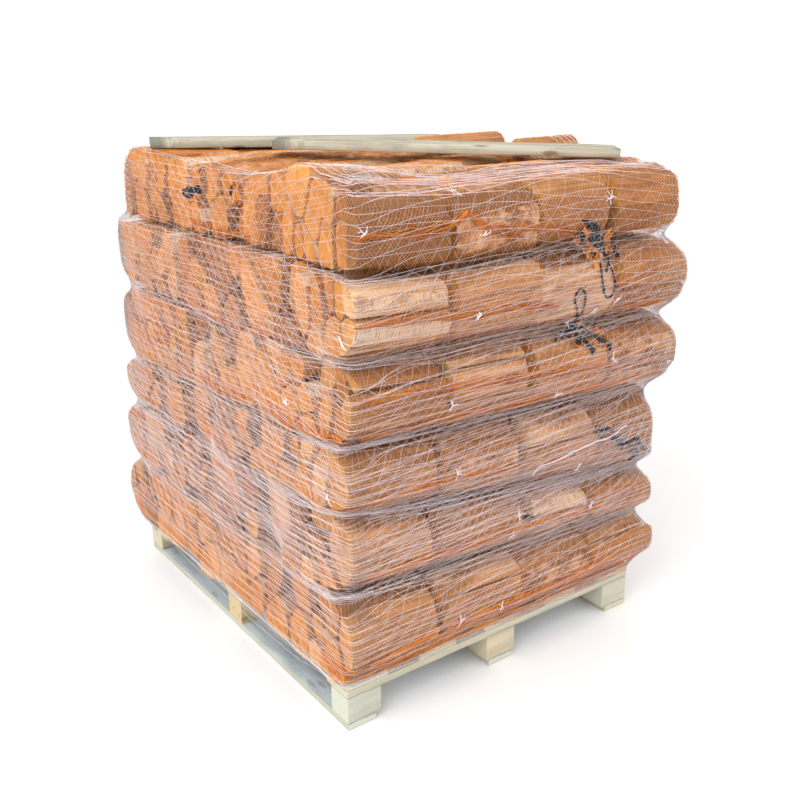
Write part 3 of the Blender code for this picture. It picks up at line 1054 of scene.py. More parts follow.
# %% Depth tables
def slide(table, columns, rows, pick):
    """The smallest or largest value near each place: np.minimum fills out, np.maximum draws in."""
    made = table
    for shift in range(1, columns + 1):
        made = pick(made, pick(np.roll(table, shift, axis=1), np.roll(table, -shift, axis=1)))
    source = made
    for shift in range(1, rows + 1):
        up = np.concatenate([np.repeat(source[:1], shift, axis=0), source[:-shift]])
        down = np.concatenate([source[shift:], np.repeat(source[-1:], shift, axis=0)])
        made = pick(made, pick(up, down))
    return made


def smooth(table, times):
    for _ in range(times):
        table = (np.roll(table, 1, axis=1) + 2 * table + np.roll(table, -1, axis=1)) / 4
        up = np.concatenate([table[:1], table[:-1]])
        down = np.concatenate([table[1:], table[-1:]])
        table = (up + 2 * table + down) / 4
    return table


NET_ROWS = 27
ROW_SHARES = np.linspace(0.015, 0.985, NET_ROWS)
NET_DEPTH_LIMIT = 0.075
CLOSED_GAP = 2
LIMIT_REACH = 4
LANE_REACH = 0.9


def ray_in(tree, column, height, reach):
    """How far in from the lane the first log lies, or the ray's reach where there is none."""
    hit = tree.ray_cast((*LANE_PLACE[column], height), (*LANE_IN[column], 0.0), reach)
    return reach if hit[0] is None else hit[3]


def layer_depths(layer):
    """Depth from the lane to this layer's bag net, with rows that go from seam to seam."""
    tree = tree_of(layer)
    low, high = SEAM_ROUND[layer:layer + 2]
    depth = np.empty((NET_ROWS, COLUMNS))
    for row, share in enumerate(ROW_SHARES):
        heights = mix(low, high, share)
        for column in range(COLUMNS):
            depth[row, column] = ray_in(tree, column, heights[column], LANE_REACH)
    limit = slide(depth.min(axis=0)[None], LIMIT_REACH, 0, np.minimum) + NET_DEPTH_LIMIT
    depth = np.minimum(depth, limit)
    grown = slide(depth, CLOSED_GAP, CLOSED_GAP, np.minimum)
    shut = slide(grown, CLOSED_GAP, CLOSED_GAP, np.maximum)
    return np.minimum(smooth(shut, 2), slide(depth, 1, 1, np.minimum))


LAYER_DEPTHS = [layer_depths(layer) for layer in range(LAYERS)]
print("nearest log to the lane in each layer:", [round(float(table.min()), 3) for table in LAYER_DEPTHS])


def beside(column):
    """The columns on both sides of fractional ones, which go round, and the share of the second."""
    column = np.mod(column, COLUMNS)
    left = np.floor(column).astype(int) % COLUMNS
    return left, (left + 1) % COLUMNS, column - np.floor(column)


def around(values, column):
    """The value at fractional columns, from one value or one row of values for each column."""
    left, right, share = beside(column)
    return mix(values[..., left], values[..., right], share)


def look_up(table, column, row):
    """The table's value at fractional columns and fractional rows."""
    left, right, share = beside(column)
    row = np.clip(row, 0, len(table) - 1)
    low = np.floor(row).astype(int)
    high = np.minimum(low + 1, len(table) - 1)
    lower = mix(table[low, left], table[low, right], share)
    upper = mix(table[high, left], table[high, right], share)
    return mix(lower, upper, row - low)


def row_at(share):
    """The row of a layer's table at this share of the way up from seam to seam."""
    return (share - ROW_SHARES[0]) / (ROW_SHARES[1] - ROW_SHARES[0])


def stand(column, height, depth):
    """Points at these columns and heights, this deep in from the lane, and their outward ways."""
    place, way = around(LANE_PLACE.T, column).T, around(LANE_IN.T, column).T
    return np.column_stack([place + way * depth[:, None], height]), np.column_stack([-way, 0 * height])


# %% [markdown]
# The rays of the lane's round corners crowd together where they meet the load. So whatever is
# spread along the load is spread along its own usual outline, in metres, and then looked up.

# %% Walk round the load
def usual_outline(tables, times):
    """The load's outline seen from above, at its usual depth from the lane."""
    usual = smooth(np.median(tables, axis=0)[None], times)[0]
    return LANE_PLACE + LANE_IN * usual[:, None]


WALK = run_along(closed(usual_outline(np.concatenate(LAYER_DEPTHS), 6)))
GIRTH = WALK[-1]
print("the load is", round(GIRTH, 2), "m round")


def column_at(run):
    """The column that looks at a place this far round the load."""
    return np.floor(run / GIRTH) * COLUMNS + np.interp(np.mod(run, GIRTH), WALK, np.arange(COLUMNS + 1))


def run_at(column):
    """How far round the load a column looks."""
    part = np.interp(np.mod(column, COLUMNS), np.arange(COLUMNS + 1), WALK)
    return np.floor(column / COLUMNS) * GIRTH + part


# %% [markdown]
# The top of the load is seen from above, so its table is a plain height map: rays go down and
# narrow gaps are closed.

# %% The height map of the top
TOP_X = np.arange(-0.6, 0.68, LANE_STEP)
TOP_Y = np.arange(-0.72, 0.72, LANE_STEP)
BELOW_TOP = 0.9


def pad_slide(table, size, pick):
    """As slide, for a height map, both ways at once."""
    made = table
    for axis in (0, 1):
        source = made
        for shift in range(1, size + 1):
            made = pick(made, pick(np.roll(source, shift, axis=axis), np.roll(source, -shift, axis=axis)))
    return made


def top_heights():
    tree = tree_of(LAYERS - 1)
    heights = np.array([[landing(tree, x, y, BELOW_TOP) for y in TOP_Y] for x in TOP_X])
    shut = pad_slide(pad_slide(heights, CLOSED_GAP, np.maximum), CLOSED_GAP, np.minimum)
    for _ in range(2):
        for axis in (0, 1):
            shut = (np.roll(shut, 1, axis=axis) + 2 * shut + np.roll(shut, -1, axis=axis)) / 4
    return np.maximum(shut, pad_slide(heights, 1, np.maximum))


TOP_MAP = top_heights()
print("the top's highest point is at", round(float(TOP_MAP.max()), 3), "m")


def top_at(x, y):
    row = np.clip((x - TOP_X[0]) / LANE_STEP, 0, len(TOP_X) - 1.001)
    column = np.clip((y - TOP_Y[0]) / LANE_STEP, 0, len(TOP_Y) - 1.001)
    i, j = np.floor(row).astype(int), np.floor(column).astype(int)
    near = mix(TOP_MAP[i, j], TOP_MAP[i + 1, j], row - i)
    far = mix(TOP_MAP[i, j + 1], TOP_MAP[i + 1, j + 1], row - i)
    return mix(near, far, column - j)


# %% [markdown]
# ## Strands
#
# Both nets, the folds and the cords are strands that follow guide lines. One Geometry Nodes
# tree makes them all: it turns the guide's edges into curves, lays the flat side of a small
# section against the load with the guide's own outward direction, and sweeps the section
# along. It could also be done with bevelled curve objects, but one tree handles thousands of
# strands at once and keeps them flat on the logs.

# %% Build a tree and grow a piece with it
OUTWARD_NODE = ("GeometryNodeInputNamedAttribute", {"data_type": "FLOAT_VECTOR"}, {"Name": "outward"})


def node_tree(name, inputs, output, nodes):
    """Nodes are (kind, settings, inputs). An input is a value, or else (node, the name of its output)."""
    tree = bpy.data.node_groups.new(name, "GeometryNodeTree")
    for label, kind in inputs.items():
        tree.interface.new_socket(label, in_out="INPUT", socket_type="NodeSocket" + kind)
    tree.interface.new_socket(output, in_out="OUTPUT", socket_type="NodeSocketGeometry")
    made = {"given": tree.nodes.new("NodeGroupInput")}
    for key, (kind, settings, entries) in nodes.items():
        made[key] = tree.nodes.new(kind)
        for setting, value in settings.items():
            setattr(made[key], setting, value)
        for entry, value in entries.items():
            if isinstance(value, tuple):
                tree.links.new(made[value[0]].outputs[value[1]], made[key].inputs[entry])
            else:
                made[key].inputs[entry].default_value = value
    return tree


def grow(name, guide, outward, tree, values):
    """Runs a tree on a guide mesh, with its inputs set by their identifiers, and keeps a plain piece."""
    fill(guide.attributes.new("outward", "FLOAT_VECTOR", "POINT").data, "vector", outward)
    holder = new_object(name + "_guide", guide)
    modifier = holder.modifiers.new("Grow", "NODES")
    modifier.node_group = tree
    for item in tree.interface.items_tree:
        if item.name in values:
            modifier[item.identifier] = values[item.name]
    mesh = bpy.data.meshes.new_from_object(holder.evaluated_get(bpy.context.evaluated_depsgraph_get()))
    mesh.name = name
    bpy.data.objects.remove(holder, do_unlink=True)
    return new_object(name, mesh)


# %% The strand tree
STRAND_TREE = node_tree(
    "Strands along guide lines",
    {"Guides": "Geometry", "Strand Width": "Float", "Strand Thickness": "Float",
     "Section Sides": "Int", "Strand Finish": "Material"},
    "Strands",
    {
        "curves": ("GeometryNodeMeshToCurve", {}, {"Mesh": ("given", "Guides")}),
        "outward": OUTWARD_NODE,
        "aim": ("GeometryNodeSetCurveNormal", {"mode": "FREE"},
                {"Curve": ("curves", "Curve"), "Normal": ("outward", "Attribute")}),
        "circle": ("GeometryNodeCurvePrimitiveCircle", {},
                   {"Resolution": ("given", "Section Sides"), "Radius": 0.5}),
        "size": ("ShaderNodeCombineXYZ", {},
                 {"X": ("given", "Strand Width"), "Y": ("given", "Strand Thickness"), "Z": 1.0}),
        "flatten": ("GeometryNodeTransform", {},
                    {"Geometry": ("circle", "Curve"), "Scale": ("size", "Vector")}),
        "sweep": ("GeometryNodeCurveToMesh", {},
                  {"Curve": ("aim", "Curve"), "Profile Curve": ("flatten", "Geometry"), "Fill Caps": True}),
        "real": ("GeometryNodeRealizeInstances", {}, {"Geometry": ("sweep", "Mesh")}),
        "paint": ("GeometryNodeSetMaterial", {},
                  {"Geometry": ("real", "Geometry"), "Material": ("given", "Strand Finish")}),
        "result": ("NodeGroupOutput", {}, {"Strands": ("paint", "Geometry")}),
    },
)


def strands(name, lines, width, thickness, sides, finish):
    """A piece of strands along these lines. Each is its points and their outward directions."""
    points, outward = (np.concatenate(rows) for rows in zip(*lines))
    lasts = np.cumsum([len(line) for line, ways in lines]) - 1
    starts = np.delete(np.arange(len(points)), lasts)
    guide = bpy.data.meshes.new(name + "_guide")
    guide.vertices.add(len(points))
    fill(guide.vertices, "co", points)
    guide.edges.add(len(starts))
    fill(guide.edges, "vertices", np.stack([starts, starts + 1], axis=1), np.int32)
    values = {"Strand Width": width, "Strand Thickness": thickness, "Section Sides": sides,
              "Strand Finish": FINISHES[finish]}
    piece = grow(name, guide, outward, STRAND_TREE, values)
    fill(piece.data.polygons, "use_smooth", np.ones(len(piece.data.polygons)), bool)
    print(name, "has", len(lines), "strands with", len(piece.data.polygons), "faces")
    return piece


print("strand tree nodes:", len(STRAND_TREE.nodes))

# %% [markdown]
# ## The orange bag nets
#
# The bags are knitted plastic net with a mesh of a few millimetres. Over each layer two
# families of strands cross at a slant. They are drawn on the layer's depth table, from the
# seam below to the seam above, and lie a millimetre off the wood.

# %% Nets on the sides of each layer
MESH_PITCH = 0.008
MESH_SLANT = math.radians(52)
NET_STRAND = (0.0013, 0.0006)
NET_SIDES = 3
NET_LIFT = 0.0013
STRAND_STEP = 0.025
RIM_WIDTH = 0.02


def layer_net(layer):
    low, high = SEAM_ROUND[layer:layer + 2]
    tall = float((high - low).mean())
    lines = []
    steps = max(6, round(tall / math.sin(MESH_SLANT) / STRAND_STEP))
    share = np.linspace(0.0, 1.0, steps + 1)
    up = mix(ROW_SHARES[0], ROW_SHARES[-1], share)
    drift = tall / math.tan(MESH_SLANT)
    apart = MESH_PITCH / math.sin(MESH_SLANT)
    for lean in (-1, 1):
        for start in np.arange(0, GIRTH - apart / 2, apart):
            column = column_at(start + lean * drift * share)
            depth = look_up(LAYER_DEPTHS[layer], column, row_at(up)) - NET_LIFT
            height = mix(around(low, column), around(high, column), up)
            points, outward = stand(column, height, depth)
            if layer == LAYERS - 1:
                inner = points[:, :2] - RIM_WIDTH * outward[:, :2]
                points[:, 2] = np.minimum(height, top_at(*inner.T) + NET_LIFT)
            lines.append((points, outward))
    return strands(f"bag_net_layer{layer + 1}", lines, *NET_STRAND, NET_SIDES, "bag net")


NET_PIECES = [layer_net(layer) for layer in range(LAYERS)]

# %% [markdown]
# On the top the same two families of strands are drawn over the height map as far as the rim.

# %% The net on the top
TOP_PITCH = 0.0125
TOP_REACH = 1.3
TOP_LIMITS = (0.66, 0.7)
RIM_DROP = 0.032


def top_net():
    lines = []
    run = np.arange(-TOP_REACH, TOP_REACH, STRAND_STEP)
    for lean in (-1, 1):
        way = np.array([math.cos(MESH_SLANT), lean * math.sin(MESH_SLANT)])
        side = np.array([-way[1], way[0]])
        for offset in np.arange(-TOP_REACH, TOP_REACH, TOP_PITCH):
            plan = side * offset + way * run[:, None]
            x, y = plan.T
            height = top_at(x, y)
            inside = (np.abs(x) < TOP_LIMITS[0]) & (np.abs(y) < TOP_LIMITS[1])
            shown = inside & (height > seam_height(LAYERS, x, y) - RIM_DROP)
            edges = np.flatnonzero(np.diff(np.concatenate([[0], shown.astype(int), [0]])))
            for first, last in zip(edges[::2], edges[1::2]):
                if last - first > 1:
                    points = np.column_stack([plan, height + NET_LIFT])[first:last]
                    lines.append((points, np.tile([0.0, 0.0, 1.0], (last - first, 1))))
    return strands("bag_net_top", lines, *NET_STRAND, NET_SIDES, "bag net")


NET_PIECES.append(top_net())

# %% [markdown]
# ## The folds of the bag nets
#
# A bag's net is wider than its logs need. The slack gathers into folds that run along the
# lower part of each layer, where they look like a dense orange band with peaks. Each fold is a
# handful of flat, thick strands that wander up and down and cross each other. The places of the
# bands on the two photographed faces were read off the photograph; the others follow the same
# habit.

# %% Guide lines for folds
FOLD_STRAND = (0.0034, 0.0014)
FOLD_LIFT = 0.0016
FOLD_BULGE = 0.0042
FOLD_STEP = 0.012
FOLD_MIDDLES = []
COLUMN_DEPTH = 0.14


def column_of(x, y):
    """The lane column that looks at this plan place."""
    seen = LANE_PLACE + LANE_IN * COLUMN_DEPTH
    off = (seen[:, 0] - x) ** 2 + (seen[:, 1] - y) ** 2
    nearest = int(np.argmin(off))
    before, after = off[(nearest - 1) % COLUMNS], off[(nearest + 1) % COLUMNS]
    return nearest + 0.5 * (before - after) / (before + after - 2 * off[nearest] + 1e-12)


def edge_at(knots, column):
    """An edge's height at each column, from heights at a few places round the load."""
    places = sorted((column_of(x, y) % COLUMNS, height) for x, y, height in knots)
    return np.interp(np.mod(column, COLUMNS), *zip(*places), period=COLUMNS)


def wander(run, dice, *waves):
    """A smooth random line: each wave is (length, size)."""
    return sum(size * np.sin(2 * np.pi * run / (length * dice.uniform(0.8, 1.25)) + dice.uniform(0, 6.3))
               for length, size in waves)


def fold_lines(layer, knots, width, count, dice):
    """Strands of one fold. Knots are (x, y, height) along the middle of the band."""
    knots = sorted((column_of(x, y), height) for x, y, height in knots)
    if knots[-1][0] - knots[0][0] > COLUMNS / 2:
        knots = sorted((column + COLUMNS * (column < COLUMNS / 2), height) for column, height in knots)
    columns, heights = np.array(knots).T
    knot_runs = run_at(columns)
    run = np.arange(knot_runs[0], knot_runs[-1], FOLD_STEP)
    column = column_at(run)
    middle = np.interp(run, knot_runs, heights)
    FOLD_MIDDLES.append((column, middle))
    low, high = (around(SEAM_ROUND[seam], column) for seam in (layer, layer + 1))
    share = (run - run[0]) / (run[-1] - run[0])
    narrow = 0.25 + 0.75 * np.sqrt(np.abs(np.sin(np.pi * share)))
    spread = width * narrow * (1 + 0.35 * wander(run, dice, (0.23, 1.0), (0.09, 0.6)))
    lines = []
    for number in range(count):
        off = (number / (count - 1) - 0.5) * spread
        height = middle + off + wander(run, dice, (0.2, 0.0022), (0.08, 0.0015), (0.035, 0.0007))
        roll = 1 - (2 * number / (count - 1) - 1) ** 2
        out = FOLD_LIFT + FOLD_BULGE * roll * narrow + wander(run, dice, (0.11, 0.0006), (0.05, 0.0004))
        row = row_at((height - low) / (high - low))
        lines.append(stand(column, height, look_up(LAYER_DEPTHS[layer], column, row) - out))
    return lines


# %% Lay the folds
# Each as its layer and the places along it: X on the right face, or Y on the left one, and height
SEEN_FOLDS = (
    (5, ((-0.49, 1.222), (-0.446, 1.229), (-0.375, 1.226), (-0.296, 1.221), (-0.227, 1.229),
         (-0.171, 1.252), (-0.126, 1.212), (-0.05, 1.195), (-0.004, 1.203), (0.093, 1.186),
         (0.19, 1.16))),
    (4, ((-0.49, 1.05), (-0.4, 1.046), (-0.295, 1.038), (-0.18, 1.026), (-0.09, 1.022), (0.005, 1.014),
         (0.105, 1.001))),
    (4, ((0.34, 0.958), (0.42, 0.955), (0.52, 0.95))),
    (3, ((-0.48, 0.878), (-0.377, 0.872), (-0.236, 0.86), (-0.083, 0.845), (0.083, 0.832),
         (0.263, 0.815), (0.339, 0.809))),
    (3, ((-0.48, 0.775), (-0.3, 0.77), (-0.12, 0.772), (0.05, 0.765), (0.25, 0.752), (0.45, 0.745))),
    (2, ((-0.45, 0.612), (-0.25, 0.622), (-0.05, 0.6), (0.12, 0.585), (0.25, 0.56))),
    (1, ((-0.45, 0.418), (-0.25, 0.415), (-0.05, 0.412), (0.15, 0.402), (0.35, 0.385))),
    (0, ((-0.46, 0.185), (-0.3, 0.205), (-0.15, 0.212), (0.02, 0.202), (0.2, 0.196), (0.4, 0.21))),
    (0, ((-0.47, 0.152), (-0.25, 0.158), (0.0, 0.15), (0.25, 0.158), (0.5, 0.155))),
)
SEEN_FOLDS_LEFT = (
    (5, ((0.19, 1.16), (0.1, 1.15), (0.03, 1.146), (-0.06, 1.15), (-0.16, 1.16))),
    (4, ((0.24, 0.95), (0.19, 0.944), (0.04, 0.937), (-0.12, 0.93), (-0.28, 0.938))),
    (3, ((0.26, 0.733), (0.16, 0.732), (0.07, 0.735), (-0.06, 0.745), (-0.2, 0.763))),
    (3, ((-0.62, 0.775), (-0.5, 0.762), (-0.38, 0.752), (-0.25, 0.762))),
)
RIGHT_Y = -0.65
LEFT_X = -0.5
# Each band's width and number of strands
RIGHT_BAND = (0.021, 11)
LEFT_BAND = (0.022, 12)
HIDDEN_BAND = (0.018, 7)


def all_folds():
    dice = random.Random(f"{SEED} folds")
    lines = []
    for layer, knots in SEEN_FOLDS:
        lines += fold_lines(layer, [(x, RIGHT_Y, height) for x, height in knots], *RIGHT_BAND, dice)
    for layer, knots in SEEN_FOLDS_LEFT:
        lines += fold_lines(layer, [(LEFT_X, y, height) for y, height in knots], *LEFT_BAND, dice)
    for layer in range(LAYERS):
        for face in ("back", "far"):
            knots = []
            first, last = dice.uniform(-0.5, -0.3), dice.uniform(0.2, 0.45)
            for run in np.linspace(first, last, 7):
                x, y = (run, 0.65) if face == "back" else (0.57, run * 1.15)
                seam = float(seam_height(layer, x, y))
                knots.append((x, y, seam + dice.uniform(0.028, 0.062)))
            lines += fold_lines(layer, knots, *HIDDEN_BAND, dice)
    return strands("bag_net_folds", lines, *FOLD_STRAND, NET_SIDES, "bag net")


NET_PIECES.append(all_folds())

# %% [markdown]
# ## The wrapped pallet net
#
# White pallet net comes off a roll half a metre wide, with strong strands along it and thinner
# threads that zigzag between them. It starts round the deck boards, climbs by about a quarter of
# its width with each turn and ends over the rim of the top, so most of the load is covered four
# times. Taut strands go straight past every hollow, which is the outline that a rubber band
# would take: the convex hull of each height. The wrap lies between that hull and the logs.

# %% A depth table for the wrap
WRAP_LOW = 0.06
WRAP_HIGH = 1.345
WRAP_HEIGHTS = np.arange(WRAP_LOW, WRAP_HIGH, LANE_STEP)
DECK_HALF = (0.5, 0.6)
DECK_MARGIN = 0.004
LAYER_MARGIN = 0.02
NO_DEPTH = 0.6
WRAP_LIFT = 0.0022
WRAP_DIP = 0.05
DIP_ROWS = 4
LOCAL_GAP = (6, 2)
TAUTNESS = 0.58
HEM_TOP = 0.186


def deck_depth():
    """Depth from the lane to the edge of the deck boards."""
    depth = np.zeros(COLUMNS)
    for axis, half in enumerate(DECK_HALF):
        level = np.abs(LANE_IN[:, axis]) < 1e-6
        way = np.where(level, 1.0, LANE_IN[:, axis])
        enter = np.minimum((half - LANE_PLACE[:, axis]) / way, (-half - LANE_PLACE[:, axis]) / way)
        depth = np.maximum(depth, np.where(level, 0.0, enter))
    return depth


def loose_depths():
    """Depth of the bag nets and the deck at every height of the wrap."""
    table = np.full((len(WRAP_HEIGHTS), COLUMNS), NO_DEPTH)
    for layer in range(LAYERS):
        low, high = SEAM_ROUND[layer:layer + 2]
        for number, height in enumerate(WRAP_HEIGHTS):
            share = (height - low) / (high - low)
            depth = look_up(LAYER_DEPTHS[layer], np.arange(COLUMNS), row_at(share))
            inside = (share > -LAYER_MARGIN) & (share < 1 + LAYER_MARGIN)
            table[number] = np.where(inside, np.minimum(table[number], depth), table[number])
    deck = deck_depth()
    tree = tree_of(0)
    for number in np.flatnonzero(WRAP_HEIGHTS < DECK_TOP + DECK_MARGIN):
        table[number] = np.minimum(table[number], deck)
        for column in range(COLUMNS):
            table[number, column] = ray_in(tree, column, WRAP_HEIGHTS[number], table[number, column])
    return table


def hull_depths(depths):
    """Depth of the rubber-band outline of one height."""
    points = LANE_PLACE + LANE_IN * depths[:, None]
    hull = sorted(geometry.convex_hull_2d([tuple(point) for point in points]))
    result = depths.copy()
    for first, last in zip(hull, hull[1:] + [hull[0] + COLUMNS]):
        between = np.arange(first + 1, last) % COLUMNS
        chord = points[last % COLUMNS] - points[first]
        start = points[first] - LANE_PLACE[between]
        way = LANE_IN[between]
        top = chord[0] * start[:, 1] - chord[1] * start[:, 0]
        bottom = chord[0] * way[:, 1] - chord[1] * way[:, 0]
        result[between] = np.minimum(top / bottom, depths[between])
    return result


def wrap_depths(loose):
    nearest = np.minimum.reduce([np.roll(loose, k, axis=0) for k in range(-DIP_ROWS, DIP_ROWS + 1)])
    capped = np.minimum(loose, nearest + WRAP_DIP)
    hull = np.array([hull_depths(row) for row in capped])
    local = smooth(slide(slide(capped, *LOCAL_GAP, np.minimum), *LOCAL_GAP, np.maximum), 3)
    eased = smooth(mix(local, hull, TAUTNESS), 2)
    return np.minimum(eased, loose)


def make_room(bed, lines, proud):
    """Pushes the wrap out over lines that lie on this bed, with a soft shoulder."""
    for column, height in lines:
        for place, level in zip(column, (height - WRAP_LOW) / LANE_STEP):
            near_columns = np.arange(math.floor(place) - 1, math.ceil(place) + 2)
            near_rows = np.arange(math.floor(level) - 1, math.ceil(level) + 2)
            off = np.hypot(near_columns[None] - place, near_rows[:, None] - level) / 2
            spot = np.ix_(near_rows, near_columns % COLUMNS)
            WRAP[spot] = np.minimum(WRAP[spot], bed[spot] - proud * np.clip(1.6 - 1.6 * off, 0, 1))


def fill_above_deck(loose):
    """The lowest bags' slack fills the corner between their belly and the edge of the deck."""
    low, high = (round((height - WRAP_LOW) / LANE_STEP) for height in (DECK_TOP, HEM_TOP))
    share = np.linspace(0, 1, high - low + 1)[:, None]
    loose[low:high + 1] = np.minimum(loose[low:high + 1], mix(loose[low], loose[high], share))


LOOSE = loose_depths()
fill_above_deck(LOOSE)
WRAP = wrap_depths(LOOSE)
make_room(LOOSE, FOLD_MIDDLES, FOLD_LIFT + FOLD_BULGE)
print("the wrap's depth from the lane is", round(float(WRAP.min()), 3), "to", round(float(WRAP.max()), 3))


def on_side(column, height, lift, table):
    """Points on a table of the wrap at these columns and heights, and their outward directions."""
    return stand(column, height, look_up(table, column, (height - WRAP_LOW) / LANE_STEP) - lift)


# %% [markdown]
# The lowest bags' slack hangs down over the edge of the deck as a hem of loose folds. It leaves
# out the face where the log ends reach past the pallet.

# %% The hem of the lowest bags
HEM_STRANDS = 11
HEM_STEP = 0.018
HEM_LIFT = 0.0006
HEM_PATH = ((-0.5, -0.5), (-0.5, 0.55))
HEM_EDGE = (
    (-0.5, -0.6, 0.142), (-0.3, -0.65, 0.139), (-0.05, -0.65, 0.132), (0.12, -0.65, 0.121),
    (0.5, -0.65, 0.119), (0.57, 0.0, 0.125), (0.0, 0.65, 0.125), (-0.5, 0.6, 0.13),
)


def hem():
    dice = random.Random(f"{SEED} hem")
    first, last = (float(run_at(column_of(x, y))) for x, y in HEM_PATH)
    run = np.arange(first, last + GIRTH, HEM_STEP)
    column = column_at(run)
    low = edge_at(HEM_EDGE, column)
    lines = []
    for number in range(HEM_STRANDS):
        height = mix(low, HEM_TOP, number / (HEM_STRANDS - 1))
        height = height + wander(run, dice, (0.31, 0.0035), (0.13, 0.0025), (0.05, 0.001))
        lift = HEM_LIFT + wander(run, dice, (0.11, 0.0004), (0.05, 0.0003))
        lines.append(on_side(column, height, lift, WRAP))
    return strands("bag_net_hem", lines, *FOLD_STRAND, NET_SIDES, "bag net")


NET_PIECES.append(hem())

# %% [markdown]
# ## Drawstrings
#
# Each bag is closed with a flat black drawstring. On some bags of the photographed sides it
# shows: its tails and loops lie on the orange net, held down by the white one. Every tail or loop
# is a cord of its own that starts in the knot where the bag is gathered. The places were read
# off the photograph; the cords end where they go back under the folds, or in a cut end.

# %% Where the drawstrings run
CORD_SIZE = (0.0066, 0.0042)
CORD_SIDES = 8
CORD_STEP = 0.004
EASE_STEPS = 12
RIGHT_FACE_Y = -0.655
LEFT_FACE_X = -0.485
# Each as its face, its far end and its path: X or Y along the face, and height
CORDS = {
    "upper_left": ("right", "object", (
        (0.269, 1.133), (0.255, 1.148), (0.238, 1.1631), (0.2192, 1.1774), (0.2007, 1.1891),
        (0.1862, 1.1978))),
    "upper_return": ("right", "bare", (
        (0.266, 1.127), (0.248, 1.1262), (0.2267, 1.13), (0.204, 1.1325), (0.1872, 1.142),
        (0.185, 1.157), (0.1784, 1.1693))),
    "upper_loop": ("right", "knot", (
        (0.268, 1.125), (0.264, 1.1074), (0.256, 1.09), (0.249, 1.07), (0.248, 1.048), (0.252, 1.025),
        (0.26, 1.005), (0.273, 0.994), (0.286, 0.999), (0.293, 1.013), (0.2935, 1.032), (0.289, 1.056),
        (0.283, 1.079), (0.277, 1.1), (0.272, 1.123))),
    "upper_right": ("right", "object", (
        (0.274, 1.127), (0.288, 1.1205), (0.302, 1.118), (0.314, 1.113), (0.3215, 1.103),
        (0.322, 1.089))),
    "middle_loop": ("right", "knot", (
        (0.1985, 0.94), (0.187, 0.956), (0.173, 0.976), (0.159, 0.996), (0.153, 1.013), (0.16, 1.028),
        (0.1745, 1.032), (0.187, 1.022), (0.1915, 1.002), (0.1925, 0.98), (0.1965, 0.96),
        (0.2008, 0.942))),
    "middle_left": ("right", "object", (
        (0.199, 0.934), (0.188, 0.9235), (0.171, 0.918), (0.155, 0.915), (0.142, 0.907),
        (0.135, 0.894))),
    "middle_right": ("right", "object", (
        (0.202, 0.935), (0.2169, 0.924), (0.2433, 0.911), (0.267, 0.8905), (0.2869, 0.8762),
        (0.2999, 0.8577))),
    "middle_tail": ("right", "bare", (
        (0.201, 0.933), (0.212, 0.913), (0.227, 0.89), (0.24, 0.868), (0.2425, 0.8471))),
    "lower_left": ("right", "bare", (
        (0.368, 0.581), (0.353, 0.5905), (0.3297, 0.5953), (0.306, 0.601), (0.29, 0.616),
        (0.2866, 0.6383))),
    "lower_right": ("right", "object", (
        (0.372, 0.581), (0.386, 0.576), (0.4046, 0.567), (0.4329, 0.559), (0.4598, 0.5463),
        (0.486, 0.526))),
    "lower_tail": ("right", "bare", (
        (0.3705, 0.578), (0.3813, 0.559), (0.403, 0.542), (0.428, 0.531), (0.448, 0.518), (0.456, 0.5))),
    "end_side": ("left", "object", (
        (0.176, 1.233), (0.16, 1.239), (0.144, 1.2395), (0.129, 1.235), (0.116, 1.227))),
    "end_tail": ("left", "bare", (
        (-0.1138, 1.2801), (-0.0979, 1.28), (-0.082, 1.273), (-0.075, 1.259), (-0.082, 1.243))),
}


def through(knots, step):
    """An even line through these points, which turns smoothly at each of them."""
    knots = np.array(knots, float)
    ends = np.concatenate([[2 * knots[0] - knots[1]], knots, [2 * knots[-1] - knots[-2]]])
    share = np.linspace(0, 1, 12, endpoint=False)[:, None]
    parts = []
    for a, b, c, d in zip(ends, ends[1:], ends[2:], ends[3:]):
        parts.append(0.5 * (2 * b + (c - a) * share + (2 * a - 5 * b + 4 * c - d) * share ** 2
                            + (3 * b - a - 3 * c + d) * share ** 3))
    line = np.concatenate(parts + [knots[-1:]])
    for _ in range(EASE_STEPS):
        line[1:-1] = (line[:-2] + 2 * line[1:-1] + line[2:]) / 4
    run = run_along(line)
    return at_runs(np.linspace(0, run[-1], max(6, round(run[-1] / step))), run, line)


def to_columns(face, line):
    """Columns and heights of a line that is drawn on the right or the left face."""
    if face == "right":
        return np.array([column_of(x, RIGHT_FACE_Y) for x in line[:, 0]]), line[:, 1]
    return np.array([column_of(LEFT_FACE_X, y) for y in line[:, 0]]), line[:, 1]


CORD_LINES = {name: to_columns(face, through(knots, CORD_STEP))
              for name, (face, far_end, knots) in CORDS.items()}
print("cords:", ", ".join(CORD_LINES))

